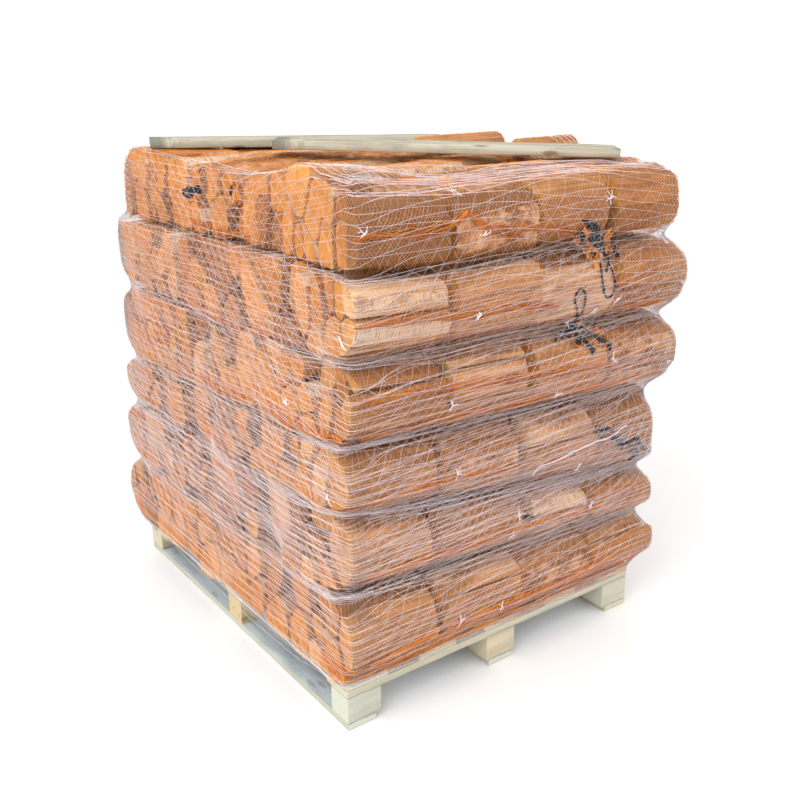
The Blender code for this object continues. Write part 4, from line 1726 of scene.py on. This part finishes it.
# %% The bunched knots
KNOT_SIZE = (0.0072, 0.005)
CORD_ROOM = 0.005
KNOT_ROOM = 0.009
TANGLES = {
    "upper": ("right", (
        ((0.195, 1.195), (0.213, 1.187), (0.232, 1.178), (0.249, 1.166), (0.259, 1.153), (0.27, 1.139)),
        ((0.207, 1.18), (0.226, 1.174), (0.242, 1.164), (0.246, 1.151), (0.24, 1.139), (0.257, 1.131)),
        ((0.242, 1.145), (0.26, 1.146), (0.281, 1.137), (0.271, 1.129), (0.25, 1.133)),
        ((0.184, 1.165), (0.198, 1.159), (0.208, 1.149), (0.204, 1.137)),
        ((0.267, 1.123), (0.283, 1.116), (0.28, 1.105), (0.268, 1.112)),
        ((0.32, 1.121), (0.327, 1.111), (0.322, 1.1), (0.329, 1.093)),
        ((0.278, 1.102), (0.288, 1.091), (0.28, 1.083), (0.267, 1.073), (0.265, 1.065)),
    )),
    "middle": ("right", (
        ((0.157, 0.903), (0.163, 0.914), (0.179, 0.914), (0.195, 0.918), (0.214, 0.908)),
        ((0.19, 0.924), (0.206, 0.916), (0.225, 0.915), (0.242, 0.905), (0.231, 0.9)),
        ((0.197, 0.889), (0.209, 0.882), (0.222, 0.888), (0.232, 0.879), (0.235, 0.87), (0.246, 0.858)),
        ((0.269, 0.893), (0.279, 0.881), (0.297, 0.871), (0.31, 0.86), (0.306, 0.851)),
        ((0.185, 0.898), (0.2, 0.902), (0.219, 0.895), (0.24, 0.895), (0.253, 0.888)),
    )),
    "lower": ("right", (
        ((0.296, 0.632), (0.311, 0.623), (0.331, 0.62), (0.352, 0.609)),
        ((0.304, 0.61), (0.315, 0.597), (0.333, 0.598), (0.343, 0.601)),
        ((0.346, 0.588), (0.365, 0.586), (0.382, 0.573), (0.392, 0.558), (0.387, 0.547)),
        ((0.401, 0.571), (0.417, 0.554), (0.431, 0.539), (0.422, 0.533), (0.404, 0.54)),
        ((0.398, 0.563), (0.41, 0.565), (0.427, 0.557), (0.442, 0.543), (0.434, 0.532)),
        ((0.427, 0.575), (0.448, 0.561), (0.467, 0.544), (0.481, 0.53), (0.495, 0.522)),
        ((0.447, 0.532), (0.464, 0.516), (0.457, 0.502), (0.449, 0.493)),
    )),
    "end": ("left", (
        ((0.188, 1.234), (0.168, 1.239), (0.148, 1.246), (0.124, 1.247), (0.105, 1.253), (0.091, 1.252)),
        ((0.182, 1.227), (0.171, 1.221), (0.152, 1.221), (0.148, 1.228), (0.159, 1.233)),
        ((0.158, 1.241), (0.135, 1.24), (0.111, 1.244), (0.088, 1.241)),
    )),
}
DOUBLED = ((0.003, 0.0022), (-0.003, -0.0022))
TANGLE_LINES = {
    name: [to_columns(face, through(line, CORD_STEP) + shift) for line in lines for shift in DOUBLED]
    for name, (face, lines) in TANGLES.items()
}
# The wrap as it was before it made room for the cords
LOOSE_WRAP = WRAP.copy()
make_room(LOOSE_WRAP, CORD_LINES.values(), CORD_ROOM)
for bunched in TANGLE_LINES.values():
    make_room(LOOSE_WRAP, bunched, KNOT_ROOM)
print("bunched knots:", ", ".join(TANGLE_LINES))

# %% Lay the drawstrings
CORD_SINK = 0.0008
KNOT_LIFT = 0.0036
KNOT_LAYERS = 3
KNOT_LAYER_STEP = 0.0016


def lay_cords():
    """The knots, and the cords as (piece, path, length, far end)."""
    knots, cords = [], []
    for name, bunched in TANGLE_LINES.items():
        lines = [on_side(*line, KNOT_LIFT + KNOT_LAYER_STEP * (number % KNOT_LAYERS), LOOSE_WRAP)
                 for number, line in enumerate(bunched)]
        knots.append(strands("drawstring_knot_" + name, lines, *KNOT_SIZE, CORD_SIDES, "cord"))
    for name, line in CORD_LINES.items():
        points, outward = on_side(*line, CORD_SIZE[1] / 2 - CORD_SINK, LOOSE_WRAP)
        piece = strands("drawstring_" + name, [(points, outward)], *CORD_SIZE, CORD_SIDES, "cord")
        length = float(np.linalg.norm(np.diff(points, axis=0), axis=1).sum())
        cords.append((piece, points, length, CORDS[name][1]))
    return knots, cords


KNOT_PIECES, CORD_PIECES = lay_cords()
print("cord lengths in mm:", [round(1000 * length) for piece, points, length, end in CORD_PIECES])

# %% [markdown]
# Where a drawstring pulls a bag's mouth together, its net puffs up into small lobes. Each lobe is
# a leaf of strands that stands a few millimetres proud in its middle.

# %% Gathers round the knots
GATHER_STRAND = (0.0026, 0.0014)
GATHER_LIFT = 0.004
LOBE_BED = 0.0012
LOBE_LENGTHS = (0.013, 0.032)
LOBE_WIDTHS = (0.005, 0.011)
LOBE_STARTS = (0.004, 0.014)
LOBE_STRANDS = 7
# Each as its place, its height and its number of lobes
GATHER_CENTRES = {
    "right": (
        (0.205, 1.152, 7), (0.29, 1.128, 9), (0.245, 1.105, 7), (0.215, 0.897, 9), (0.285, 0.885, 5),
        (0.33, 0.604, 6), (0.425, 0.55, 7),
    ),
    "left": ((0.14, 1.236, 6), (-0.095, 1.268, 5)),
}


def gathers():
    dice = random.Random(f"{SEED} gathers")
    lines = []
    share = np.linspace(0, 1, 8)
    centres = [(face, *centre) for face in GATHER_CENTRES for centre in GATHER_CENTRES[face]]
    for face, place, height, count in centres:
        for number in range(count):
            turn = 2 * math.pi * (number + dice.uniform(-0.3, 0.3)) / count
            length, wide, start = (dice.uniform(*span) for span in (LOBE_LENGTHS, LOBE_WIDTHS, LOBE_STARTS))
            out = start + length * share
            for side in np.linspace(-1, 1, LOBE_STRANDS):
                off = side * wide * np.sin(np.pi * share) ** 0.7
                line = np.column_stack([place + out * math.cos(turn) - off * math.sin(turn),
                                        height + out * math.sin(turn) + off * math.cos(turn)])
                lift = LOBE_BED + GATHER_LIFT * np.sin(np.pi * share) * (1 - 0.7 * side ** 2)
                lines.append(on_side(*to_columns(face, line), lift, LOOSE_WRAP))
    return strands("bag_net_gathers", lines, *GATHER_STRAND, NET_SIDES, "bag net")


NET_PIECES.append(gathers())

# %% [markdown]
# ## Winding the pallet net
#
# Above a certain height the side turns into the top. There a strand that would stand higher
# than the rim is laid over it instead, and the rest of its height becomes a distance inwards on
# the height map of the top. The net's upper edge follows the rim on the photograph's left and
# reaches far over the top at the near corner; its lower edge hangs past the deck on the left.

# %% Where the side ends
FIRM_BAND = (0.13, 0.05)
RIM_GIVE = 0.022
RIM_ABOVE = 0.01
RIM_IN = 0.03
RIM_EASE = 4


def rim_heights():
    """Height at which the side ends, for every column."""
    top = SEAM_ROUND[LAYERS]
    rims = np.zeros(COLUMNS)
    for column in range(COLUMNS):
        firm = (WRAP_HEIGHTS > top[column] - FIRM_BAND[0]) & (WRAP_HEIGHTS < top[column] - FIRM_BAND[1])
        base = WRAP[firm, column].min()
        upright = (WRAP[:, column] < base + RIM_GIVE) & (WRAP_HEIGHTS < top[column] + RIM_ABOVE)
        inner = LANE_PLACE[column] + LANE_IN[column] * (base + RIM_IN)
        highest = WRAP_HEIGHTS[np.flatnonzero(upright)[-1]]
        rims[column] = min(highest, top_at(*inner) + NET_LIFT + WRAP_LIFT)
    kernel = np.ones(2 * RIM_EASE + 1) / (2 * RIM_EASE + 1)
    return np.convolve(np.concatenate([rims[-RIM_EASE:], rims, rims[:RIM_EASE]]), kernel, "valid")


RIMS = rim_heights()
print("the rim is between", round(float(RIMS.min()), 3), "and", round(float(RIMS.max()), 3), "m high")

# %% Strands on the side and over the rim
# Heights that the net's edges stand above or below a level edge, as (X, Y, height)
TOP_EDGE = (
    (-0.5, 0.6, -0.035), (-0.5, 0.3, -0.035), (-0.5, 0.05, -0.025), (-0.5, -0.15, 0.02),
    (-0.5, -0.4, 0.11), (-0.5, -0.6, 0.17), (-0.3, -0.65, 0.16), (0.1, -0.65, 0.12),
    (0.45, -0.65, 0.085), (0.57, -0.5, 0.04), (0.57, 0.5, 0.02), (0.3, 0.66, 0.03), (-0.3, 0.66, 0.02),
)
BOTTOM_EDGE = (
    (-0.5, 0.55, -0.012), (-0.5, 0.3, -0.03), (-0.5, -0.1, -0.033), (-0.5, -0.4, -0.018),
    (-0.5, -0.58, 0.018), (-0.3, -0.62, 0.004), (0.4, -0.62, -0.004), (0.57, 0.0, 0.0), (0.0, 0.65, 0.0),
)
GATHER_REACH = 0.045
# Corners of the load, as (X, Y, strength), and how far their pull reaches
GATHER_CORNERS = ((-0.5, -0.64, 0.92), (0.55, -0.64, 0.55), (0.55, 0.64, 0.8), (-0.5, 0.64, 0.7))
CORNER_REACH = 0.24
USUAL_PULL = 0.25
MOST_PULL = 0.93
DECK_EDGE_DROP = 0.01
DECK_PULL = 0.35
EASE_TIMES = 6
RIM_TURN = 0.012
OVER_FADE = 0.03


def gather_to_seams(column, height, dice):
    """Draws strands near a seam into it, most of all at the corners of the load."""
    guess = around(FACE_GUESS.T, column)
    pull = USUAL_PULL + 0 * column
    for x, y, strength in GATHER_CORNERS:
        away = np.hypot(guess[0] - x, guess[1] - y)
        pull = np.maximum(pull, strength * np.exp(-(away / CORNER_REACH) ** 2))
    for seam in range(LAYERS):
        off = height - seam_height(seam, *guess) + (DECK_EDGE_DROP if seam == 0 else 0)
        near = np.clip(1 - (off / GATHER_REACH) ** 2, 0, 1)
        drawn = pull + dice.uniform(-0.12, 0.12) + (DECK_PULL if seam == 0 else 0)
        height = height - off * near * np.clip(drawn, 0, MOST_PULL)
    return height


def on_wrap(column, height, lift, stride):
    """Points and outward directions on the side of the wrap, or over its rim, where a line is eased
    by drawing each point towards those that are a stride before and after it."""
    rim = around(RIMS, column)
    over = np.clip(height - rim, 0, None)
    side, outward = on_side(column, np.minimum(height, rim), WRAP_LIFT + lift, WRAP)
    way = -outward[:, :2]
    plan = side[:, :2] + way * over[:, None]
    top = np.maximum(top_at(*plan.T), top_at(*(plan + RIM_WIDTH * way).T)) + NET_LIFT + WRAP_LIFT + lift
    span = np.clip(side[:, 2] - top, 0, None) * np.exp(-(over / OVER_FADE) ** 2)
    past_rim = np.clip(over / RIM_TURN, 0, 1)
    points = np.column_stack([plan, mix(side[:, 2], top + span, past_rim)])
    eased = points.copy()
    for _ in range(EASE_TIMES):
        eased[stride:-stride] = (eased[:-2 * stride] + 2 * eased[stride:-stride] + eased[2 * stride:]) / 4
    points = mix(points, eased, past_rim[:, None])
    bed = top_at(*points[:, :2].T) + NET_LIFT + WRAP_LIFT
    points[:, 2] = np.where(over > RIM_TURN, np.maximum(points[:, 2], bed), points[:, 2])
    upward = np.tile([0.0, 0.0, 1.0], (len(rim), 1))
    return points, mix(outward, upward, np.clip(over / OVER_FADE, 0, 1)[:, None])


# %% [markdown]
# The band is drawn strand by strand. Its height is a function of how far it has been wound, so
# one long guide line makes each strand from the deck to the rim. The threads jump from one
# strand to the next and back.

# %% Wind the net
STRANDS_IN_BAND = 22
BAND_PITCH = 0.0215
# How high the band's lower edge lies after so many turns
CLIMB = (
    (0, 0.103), (0.9, 0.103), (1.6, 0.112), (2.9, 0.25), (3.9, 0.35), (4.9, 0.46), (5.9, 0.58),
    (6.9, 0.7), (7.9, 0.915), (8.9, 0.915),
)
BUNCHED = 8
BUNCHED_TURNS = 2.4
EDGE_STRANDS = 7
TURNS = CLIMB[-1][0]
LAST_TURN = 1.35
WRAP_STRAND = (0.0015, 0.0009)
WRAP_THREAD = (0.00072, 0.0005)
STRAND_RUN = 0.034
THREAD_RUN = 0.027
TURN_LIFT = 0.0007
THREAD_LIFT = 0.0003
START_RUN = 0.3
MOST_BEND = math.radians(16)
ABOVE_DECK = 20
BAND_WAVES = ((1.35, 0.013), (0.7, 0.005), (0.31, 0.001))
STRAND_WAVES = ((0.9, 0.003), (0.33, 0.0012), (0.12, 0.0004))


def turn_steps(longest):
    """Places round the load that are this far apart at most, and closer where the load bends."""
    outline = usual_outline(WRAP[ABOVE_DECK:], 4)
    step = np.roll(outline, -1, axis=0) - outline
    heading = np.arctan2(step[:, 1], step[:, 0])
    turned = np.abs((heading - np.roll(heading, 1) + math.pi) % (2 * math.pi) - math.pi)
    need = np.concatenate([[0.0], np.cumsum(np.diff(WALK) / longest + turned / MOST_BEND)])
    return np.interp(np.linspace(0, need[-1], math.ceil(need[-1]), endpoint=False), need, WALK)


def winding(longest):
    """How far the band has been wound, in turns, at each point of a strand."""
    runs = np.concatenate([number * GIRTH + turn_steps(longest) for number in range(math.ceil(TURNS) + 1)])
    runs = runs[(runs >= START_RUN) & (runs <= START_RUN + TURNS * GIRTH)]
    return (runs - START_RUN) / GIRTH


def make_waves(dice, waves):
    return [(length * dice.uniform(0.85, 1.15), size, dice.uniform(0, 6.3)) for length, size in waves]


def sway(run, waves):
    return sum(size * np.sin(2 * np.pi * run / length + phase) for length, size, phase in waves)


def band_strand(number, turns, shared, own):
    """Height of one strand of the band after so many turns."""
    column = column_at(START_RUN + turns * GIRTH)
    first = np.clip(1 - (turns - CLIMB[1][0] + 0.2) / 0.5, 0, 1) * max(0.0, 1 - number / EDGE_STRANDS)
    last = np.clip((turns - TURNS + LAST_TURN) / 0.35, 0, 1) * number / (STRANDS_IN_BAND - 1)
    bunch = 0.5 * number * max(0.0, 1 - number / BUNCHED) * np.clip(BUNCHED_TURNS - turns, 0, 1)
    height = np.interp(turns, *zip(*CLIMB)) + (number - bunch) * BAND_PITCH
    height = height + first * edge_at(BOTTOM_EDGE, column) + last * edge_at(TOP_EDGE, column)
    run = turns * GIRTH
    settle = np.clip((height - 0.12) / 0.1, 0.12, 1)
    return height + settle * (sway(run, shared) + sway(run, own[number]))


def wind_net():
    dice = random.Random(f"{SEED} wrap")
    shared = make_waves(dice, BAND_WAVES)
    own = [make_waves(dice, STRAND_WAVES) for _ in range(STRANDS_IN_BAND)]
    made = []
    kinds = (("strands", STRANDS_IN_BAND, STRAND_RUN, WRAP_STRAND),
             ("threads", STRANDS_IN_BAND - 1, THREAD_RUN, WRAP_THREAD))
    for kind, count, longest, size in kinds:
        turns = winding(longest)
        column = column_at(START_RUN + turns * GIRTH)
        for letter, first in (("a", 0), ("b", 1)):
            lines = []
            for number in range(first, count, 2):
                height = band_strand(number, turns, shared, own)
                lift, stride = TURN_LIFT * np.clip(turns - 1, 0, 2), 1
                if kind == "threads":
                    even = (np.arange(len(turns)) + number) % 2 == 0
                    height = np.where(even, height, band_strand(number + 1, turns, shared, own))
                    lift, stride = THREAD_LIFT, 2
                lines.append(on_wrap(column, gather_to_seams(column, height, dice), lift, stride))
            made.append(strands(f"pallet_net_{kind}_{letter}", lines, *size, NET_SIDES, "pallet net"))
    return made


WRAP_PIECES = wind_net()
print("the band makes", round(TURNS, 2), "turns")

# %% [markdown]
# Here and there the white net is caught or torn, and its strands curl up into a small tuft. At
# one place several strands are twisted together into a taut rope.

# %% Tufts and the twisted strands
TUFT_STRAND = (0.0022, 0.0015)
TUFT_SIDES = 5
TUFT_CURLS = 7
CURL_LENGTHS = (0.008, 0.021)
CURL_BEND = 45
TUFT_LIFT = WRAP_LIFT + 0.0012
TUFTS = {
    "right": (
        (-0.184, 1.295), (0.28, 1.244), (-0.132, 1.198), (0.306, 0.982), (-0.168, 1.012),
        (0.165, 0.94), (0.314, 0.828), (-0.223, 0.811), (0.123, 0.759), (-0.195, 0.629),
        (0.075, 0.564), (0.232, 0.525), (0.292, 0.404), (0.026, 0.445), (0.0, 0.393),
        (-0.04, 0.209), (-0.18, 0.214), (-0.461, 1.237), (0.231, 0.962),
    ),
    "left": ((-0.38, 0.8), (-0.55, 0.62), (0.02, 0.575), (-0.6, 1.01), (0.3, 0.42)),
}
ROPE = ((0.0782, 0.5749), (0.1712, 0.5843), (0.2828, 0.5962), (0.4031, 0.6136))
ROPE_STEP = 0.006
ROPE_TWIST = 0.045
ROPE_HALF = 0.0016
ROPE_LIFT = WRAP_LIFT + 0.003


def tufts_and_rope():
    dice = random.Random(f"{SEED} tufts")
    lines = []
    for face, places in TUFTS.items():
        for place, height in places:
            main = dice.uniform(0.2, 1.4)
            for _ in range(TUFT_CURLS):
                turn = main + dice.gauss(0, 0.55) + (math.pi if dice.random() < 0.4 else 0)
                run = np.linspace(-0.002, dice.uniform(*CURL_LENGTHS), 6)
                turned = turn + dice.uniform(-CURL_BEND, CURL_BEND) * run
                line = np.column_stack([place + run * np.cos(turned), height + run * np.sin(turned)])
                lift = TUFT_LIFT + dice.uniform(0.0, 0.0022)
                lines.append(on_side(*to_columns(face, line), lift, WRAP))
    line = through(ROPE, ROPE_STEP)
    column, level = to_columns("right", line)
    for phase in (0.0, 2.1, 4.2):
        turn = 2 * np.pi * (np.arange(len(line)) * ROPE_STEP) / ROPE_TWIST + phase
        lift = ROPE_LIFT + ROPE_HALF * np.cos(turn)
        lines.append(on_side(column, level + ROPE_HALF * np.sin(turn), lift, WRAP))
    return strands("pallet_net_tufts", lines, *TUFT_STRAND, TUFT_SIDES, "pallet net")


WRAP_PIECES.append(tufts_and_rope())

# %% [markdown]
# ## Sawn boards
#
# The pallet is nailed together from sawn softwood. Each board is a loft along its length: a
# section with broken corners, which the saw left slightly uneven. The boards keep the exact
# places of the measured model, so each reads its box from the frame.

# %% One sawn board
BOARD_CHAMFER = 0.0014
BOARD_STATIONS = 32
END_STRIP = 0.0015
END_WEAR = 0.0012
SAW_WEAR = 0.0011
BOARD_ENDS = {"pallet": "pallet end", "weathered": "weathered end"}
PLAIN_SIDE, END_SIDE, PAINTED_SHADE_SIDE = range(3)


def board_section(width, thickness):
    """Sixteen points round a board's section, with broken corners."""
    half = np.array([width / 2, thickness / 2])
    inset = half - BOARD_CHAMFER
    corners = []
    for sx, sy in ((1, -1), (1, 1), (-1, 1), (-1, -1)):
        first, second = (half[0] * sx, inset[1] * sy), (inset[0] * sx, half[1] * sy)
        corners += [first, second] if sx * sy > 0 else [second, first]
    corners = np.array(corners)
    after = np.roll(corners, -1, axis=0)
    return np.stack([corners, (corners + after) / 2], axis=1).reshape(-1, 2)


def sawn_board(name, size, matrix, finish, dice, tone=None, grey=(), damp=0.0):
    """A board along its local X. Sides that are named in grey, top or bottom, get the grey finish."""
    length, width, thickness = size
    section = board_section(width, thickness)
    strip = END_STRIP / length
    between = np.linspace(0, 1, BOARD_STATIONS)[1:-1]
    places = np.concatenate([[0.0, strip], between, [1 - strip, 1.0]])
    wobble = np.array([[dice.uniform(0, SAW_WEAR) for _ in range(len(section))] for _ in places])
    for axis in (0, 1):
        wobble = (np.roll(wobble, 1, axis=axis) + wobble) / 2
    rings = []
    for place, worn in zip(places, wobble):
        ring = section - np.sign(section) * worn[:, None]
        if place in (0.0, 1.0):
            ring = ring * (1 - 2 * END_WEAR / np.array([width, thickness]))
        rings.append(np.column_stack([np.full(len(ring), (place - 0.5) * length), ring]))
    lofts = Lofts()
    shift = dice.uniform(0, 3)
    pith = np.array([dice.uniform(-0.4, 0.4) * width, -dice.uniform(1.0, 3.0) * thickness])
    heights = section[:, 1] + np.roll(section[:, 1], -1)
    numbers = np.full(len(section), PLAIN_SIDE)
    # Sides that are named in grey get the blue-grey finish, which is painted shade
    for side, sign in (("top", 1), ("bottom", -1)):
        if side in grey:
            numbers[heights * sign > 0.98 * thickness] = PAINTED_SHADE_SIDE
    own = (dice.random() if tone is None else tone, dice.random(), 0.5 * dice.random())
    lofts.add(rings, shift + places * length, numbers, END_SIDE, pith, own)
    if damp:
        wet = mix(own[2], 1.0, np.clip(1.6 - 1.6 * places * length / damp, 0, 1))
        lofts.dice[0][:len(places) * len(section), 2] = np.repeat(wet, len(section))
    turned = np.array(matrix.to_3x3())
    lofts.points = [points @ turned.T + np.array(matrix.translation) for points in lofts.points]
    return lofts.piece(name, (finish, BOARD_ENDS[finish], "pallet painted shade"))


print("a board's section has", len(board_section(0.1, 0.02)), "points")

# %% [markdown]
# The near corner block is greenish cream and the middle block of the left side a yellowish tan.
# The faces that look into the pallet get a blue-grey finish, which is painted shade: the dark inside the
# pallet.

# %% Dress the pallet
BOARD_TONES = {
    "pallet_block_1_1": 1.0, "pallet_block_1_2": 0.45, "pallet_block_2_1": 0.0, "pallet_block_3_1": 0.6,
    "pallet_block_1_3": 0.8, "pallet_bottom_board_1": 0.9, "pallet_bottom_board_2": 0.95,
}
# The sides that look into the pallet, which get the painted shade
PAINTED_SHADE_SIDES = {"bottom": ("top",), "stringer": ("bottom",), "deck": ("top", "bottom")}


def box_of(node):
    """The low corner, the high corner and the middle of a solid's box."""
    low, high = (Vector(corner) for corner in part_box(node))
    return low, high, (low + high) / 2


def pallet_boards():
    dice = random.Random(f"{SEED} boards")
    made = []
    for node in sorted(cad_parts):
        if not node.startswith("pallet_") or node == "pallet_net":
            continue
        low, high, middle = box_of(node)
        length, width, thickness = high - low
        matrix = Matrix.Translation(middle)
        if width > length and "block" not in node:
            matrix = matrix @ Matrix.Rotation(math.pi / 2, 4, "Z")
            length, width = width, length
        tone = BOARD_TONES.get(node, dice.uniform(0.2, 0.8))
        grey = PAINTED_SHADE_SIDES.get(node.split("_")[1], ())
        size = (length, width, thickness)
        made.append((sawn_board("sawn_" + node, size, matrix, "pallet", dice, tone, grey), node))
    return made


PALLET_PIECES = pallet_boards()
print("pallet pieces:", len(PALLET_PIECES))

# %% [markdown]
# Two loose boards lie on the load, probably to spread the weight of a second pallet. They are
# greyed by the weather, and each lies at a slant. The model's box gives the middle of each board.

# %% Lay the loose boards
# Each as its size, and how many degrees it is turned and dips
LOOSE_BOARDS = {
    "loose_board_back": ((0.9, 0.135, 0.023), -21.0, 1.0),
    "loose_board_front": ((0.92, 0.115, 0.024), -37.6, 1.5),
}
DAMP_END = 0.07


def slant(turn, dip):
    return Matrix.Rotation(math.radians(turn), 4, "Z") @ Matrix.Rotation(math.radians(dip), 4, "Y")


def loose_boards():
    dice = random.Random(f"{SEED} loose")
    made = []
    for node, (size, turn, dip) in LOOSE_BOARDS.items():
        matrix = Matrix.Translation(box_of(node)[2]) @ slant(turn, dip)
        made.append((sawn_board("weathered_" + node, size, matrix, "weathered", dice, damp=DAMP_END), node))
    return made


LOOSE_PIECES = loose_boards()
print("loose boards:", [piece.name for piece, node in LOOSE_PIECES])

# %% [markdown]
# ## Nails
#
# Wire nails hold the pallet: three go up through the bottom board into each block, and a few show
# on the blocks and on the loose boards. A head is the same everywhere, so a Geometry Nodes tree
# puts one small disc on every point and turns it to the point's outward direction.

# %% The nail tree
NAIL_TREE = node_tree(
    "Nail heads on points",
    {"Places": "Geometry", "Head Radius": "Float", "Head Height": "Float", "Nail Finish": "Material"},
    "Nails",
    {
        "points": ("GeometryNodeMeshToPoints", {}, {"Mesh": ("given", "Places")}),
        "head": ("GeometryNodeMeshCylinder", {},
                 {"Vertices": 14, "Radius": ("given", "Head Radius"), "Depth": ("given", "Head Height")}),
        "outward": OUTWARD_NODE,
        "turn": ("FunctionNodeAlignRotationToVector", {"axis": "Z"}, {"Vector": ("outward", "Attribute")}),
        "place": ("GeometryNodeInstanceOnPoints", {}, {
            "Points": ("points", "Points"), "Instance": ("head", "Mesh"), "Rotation": ("turn", "Rotation")}),
        "real": ("GeometryNodeRealizeInstances", {}, {"Geometry": ("place", "Instances")}),
        "paint": ("GeometryNodeSetMaterial", {},
                  {"Geometry": ("real", "Geometry"), "Material": ("given", "Nail Finish")}),
        "result": ("NodeGroupOutput", {}, {"Nails": ("paint", "Geometry")}),
    },
)
print("nail tree nodes:", len(NAIL_TREE.nodes))

# %% Place the nails
HEAD_RADIUS = 0.0031
HEAD_HEIGHT = 0.0012
HEAD_SINK = 0.0002
HEAD_OVER_FLOOR = 0.0004
NAILED_BLOCK = "pallet_block_2_1"
NAILED_SHARES = (-0.42, -0.395, 0.04, 0.41, 0.43)


def nail_places():
    """Every head's middle and the way that it faces."""
    dice = random.Random(f"{SEED} nails")
    places = []
    for node in sorted(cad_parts):
        if not node.startswith("pallet_block"):
            continue
        low, high, middle = box_of(node)
        for step in (-0.028, 0.0, 0.026):
            x = middle.x + dice.uniform(-0.012, 0.012)
            places.append(((x, middle.y + step, HEAD_OVER_FLOOR), (0, 0, -1)))
        if node == NAILED_BLOCK:
            for step in (-0.022, 0.004, 0.024):
                level = middle.z + dice.uniform(-0.022, 0.024)
                places.append(((low.x - HEAD_SINK, middle.y + step, level), (-1, 0, 0)))
    for node, (size, turn, dip) in LOOSE_BOARDS.items():
        turned = slant(turn, dip)
        for along in NAILED_SHARES:
            across = dice.uniform(-0.32, 0.32) * size[1]
            spot = turned @ Vector((along * size[0] / 0.92, across, size[2] / 2 - HEAD_SINK))
            places.append((tuple(box_of(node)[2] + spot), tuple(turned @ Vector((0, 0, 1)))))
    return places


def hammer_nails():
    places, ways = zip(*nail_places())
    guide = bpy.data.meshes.new("nail_places")
    guide.from_pydata(places, [], [])
    values = {"Head Radius": HEAD_RADIUS, "Head Height": HEAD_HEIGHT, "Nail Finish": FINISHES["nail"]}
    return grow("nail_heads", guide, ways, NAIL_TREE, values)


NAIL_PIECE = hammer_nails()
print("nail faces:", len(NAIL_PIECE.data.polygons))

# %% [markdown]
# The floor is only for the picture: a large pale sheet, a hair below the pallet, that catches a
# soft shadow.

# %% The floor
FLOOR_DROP = 0.0005


def lay_floor():
    mesh = bpy.data.meshes.new("floor")
    mesh.from_pydata([(-9, -9, 0), (9, -9, 0), (9, 9, 0), (-9, 9, 0)], [], [(0, 1, 2, 3)])
    pale = Finish("pale_floor", 0.9)
    pale.shader.inputs["Base Color"].default_value = (0.93, 0.93, 0.93, 1.0)
    mesh.materials.append(pale.material)
    floor = new_object("floor", mesh)
    floor.location.z = -FLOOR_DROP
    floor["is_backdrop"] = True
    return floor


print("floor at", lay_floor().location.z)

# %% [markdown]
# ## Tie the pieces to the load
#
# Each piece is tied to the load's one body, and the solids that a piece stands for are hidden.

# %% Tie the pieces to the frame
STANDING_FOR = {
    "birch_firewood": LOG_PIECES,
    "pallet_wood": PALLET_PIECES,
    "weathered_board": LOOSE_PIECES,
    "pallet_net": [(WRAP_PIECES[0], "pallet_net")],
}
ADDED = {
    "bag_net": NET_PIECES,
    "pallet_net": WRAP_PIECES[1:],
    "nail_steel": [NAIL_PIECE],
    "drawstring": KNOT_PIECES + [cord[0] for cord in CORD_PIECES],
}
for slot, pairs in STANDING_FOR.items():
    for piece, node in pairs:
        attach(piece, "root")
        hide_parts(node)
for slot, pieces in ADDED.items():
    for piece in pieces:
        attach(piece, "root")
totals = {piece.name: sum(len(face.vertices) - 2 for face in piece.data.polygons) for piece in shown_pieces()}
largest = max(totals, key=totals.get)
print("pieces:", len(totals), "triangles:", sum(totals.values()))
print("the largest piece is", largest, "with", totals[largest], "triangles")
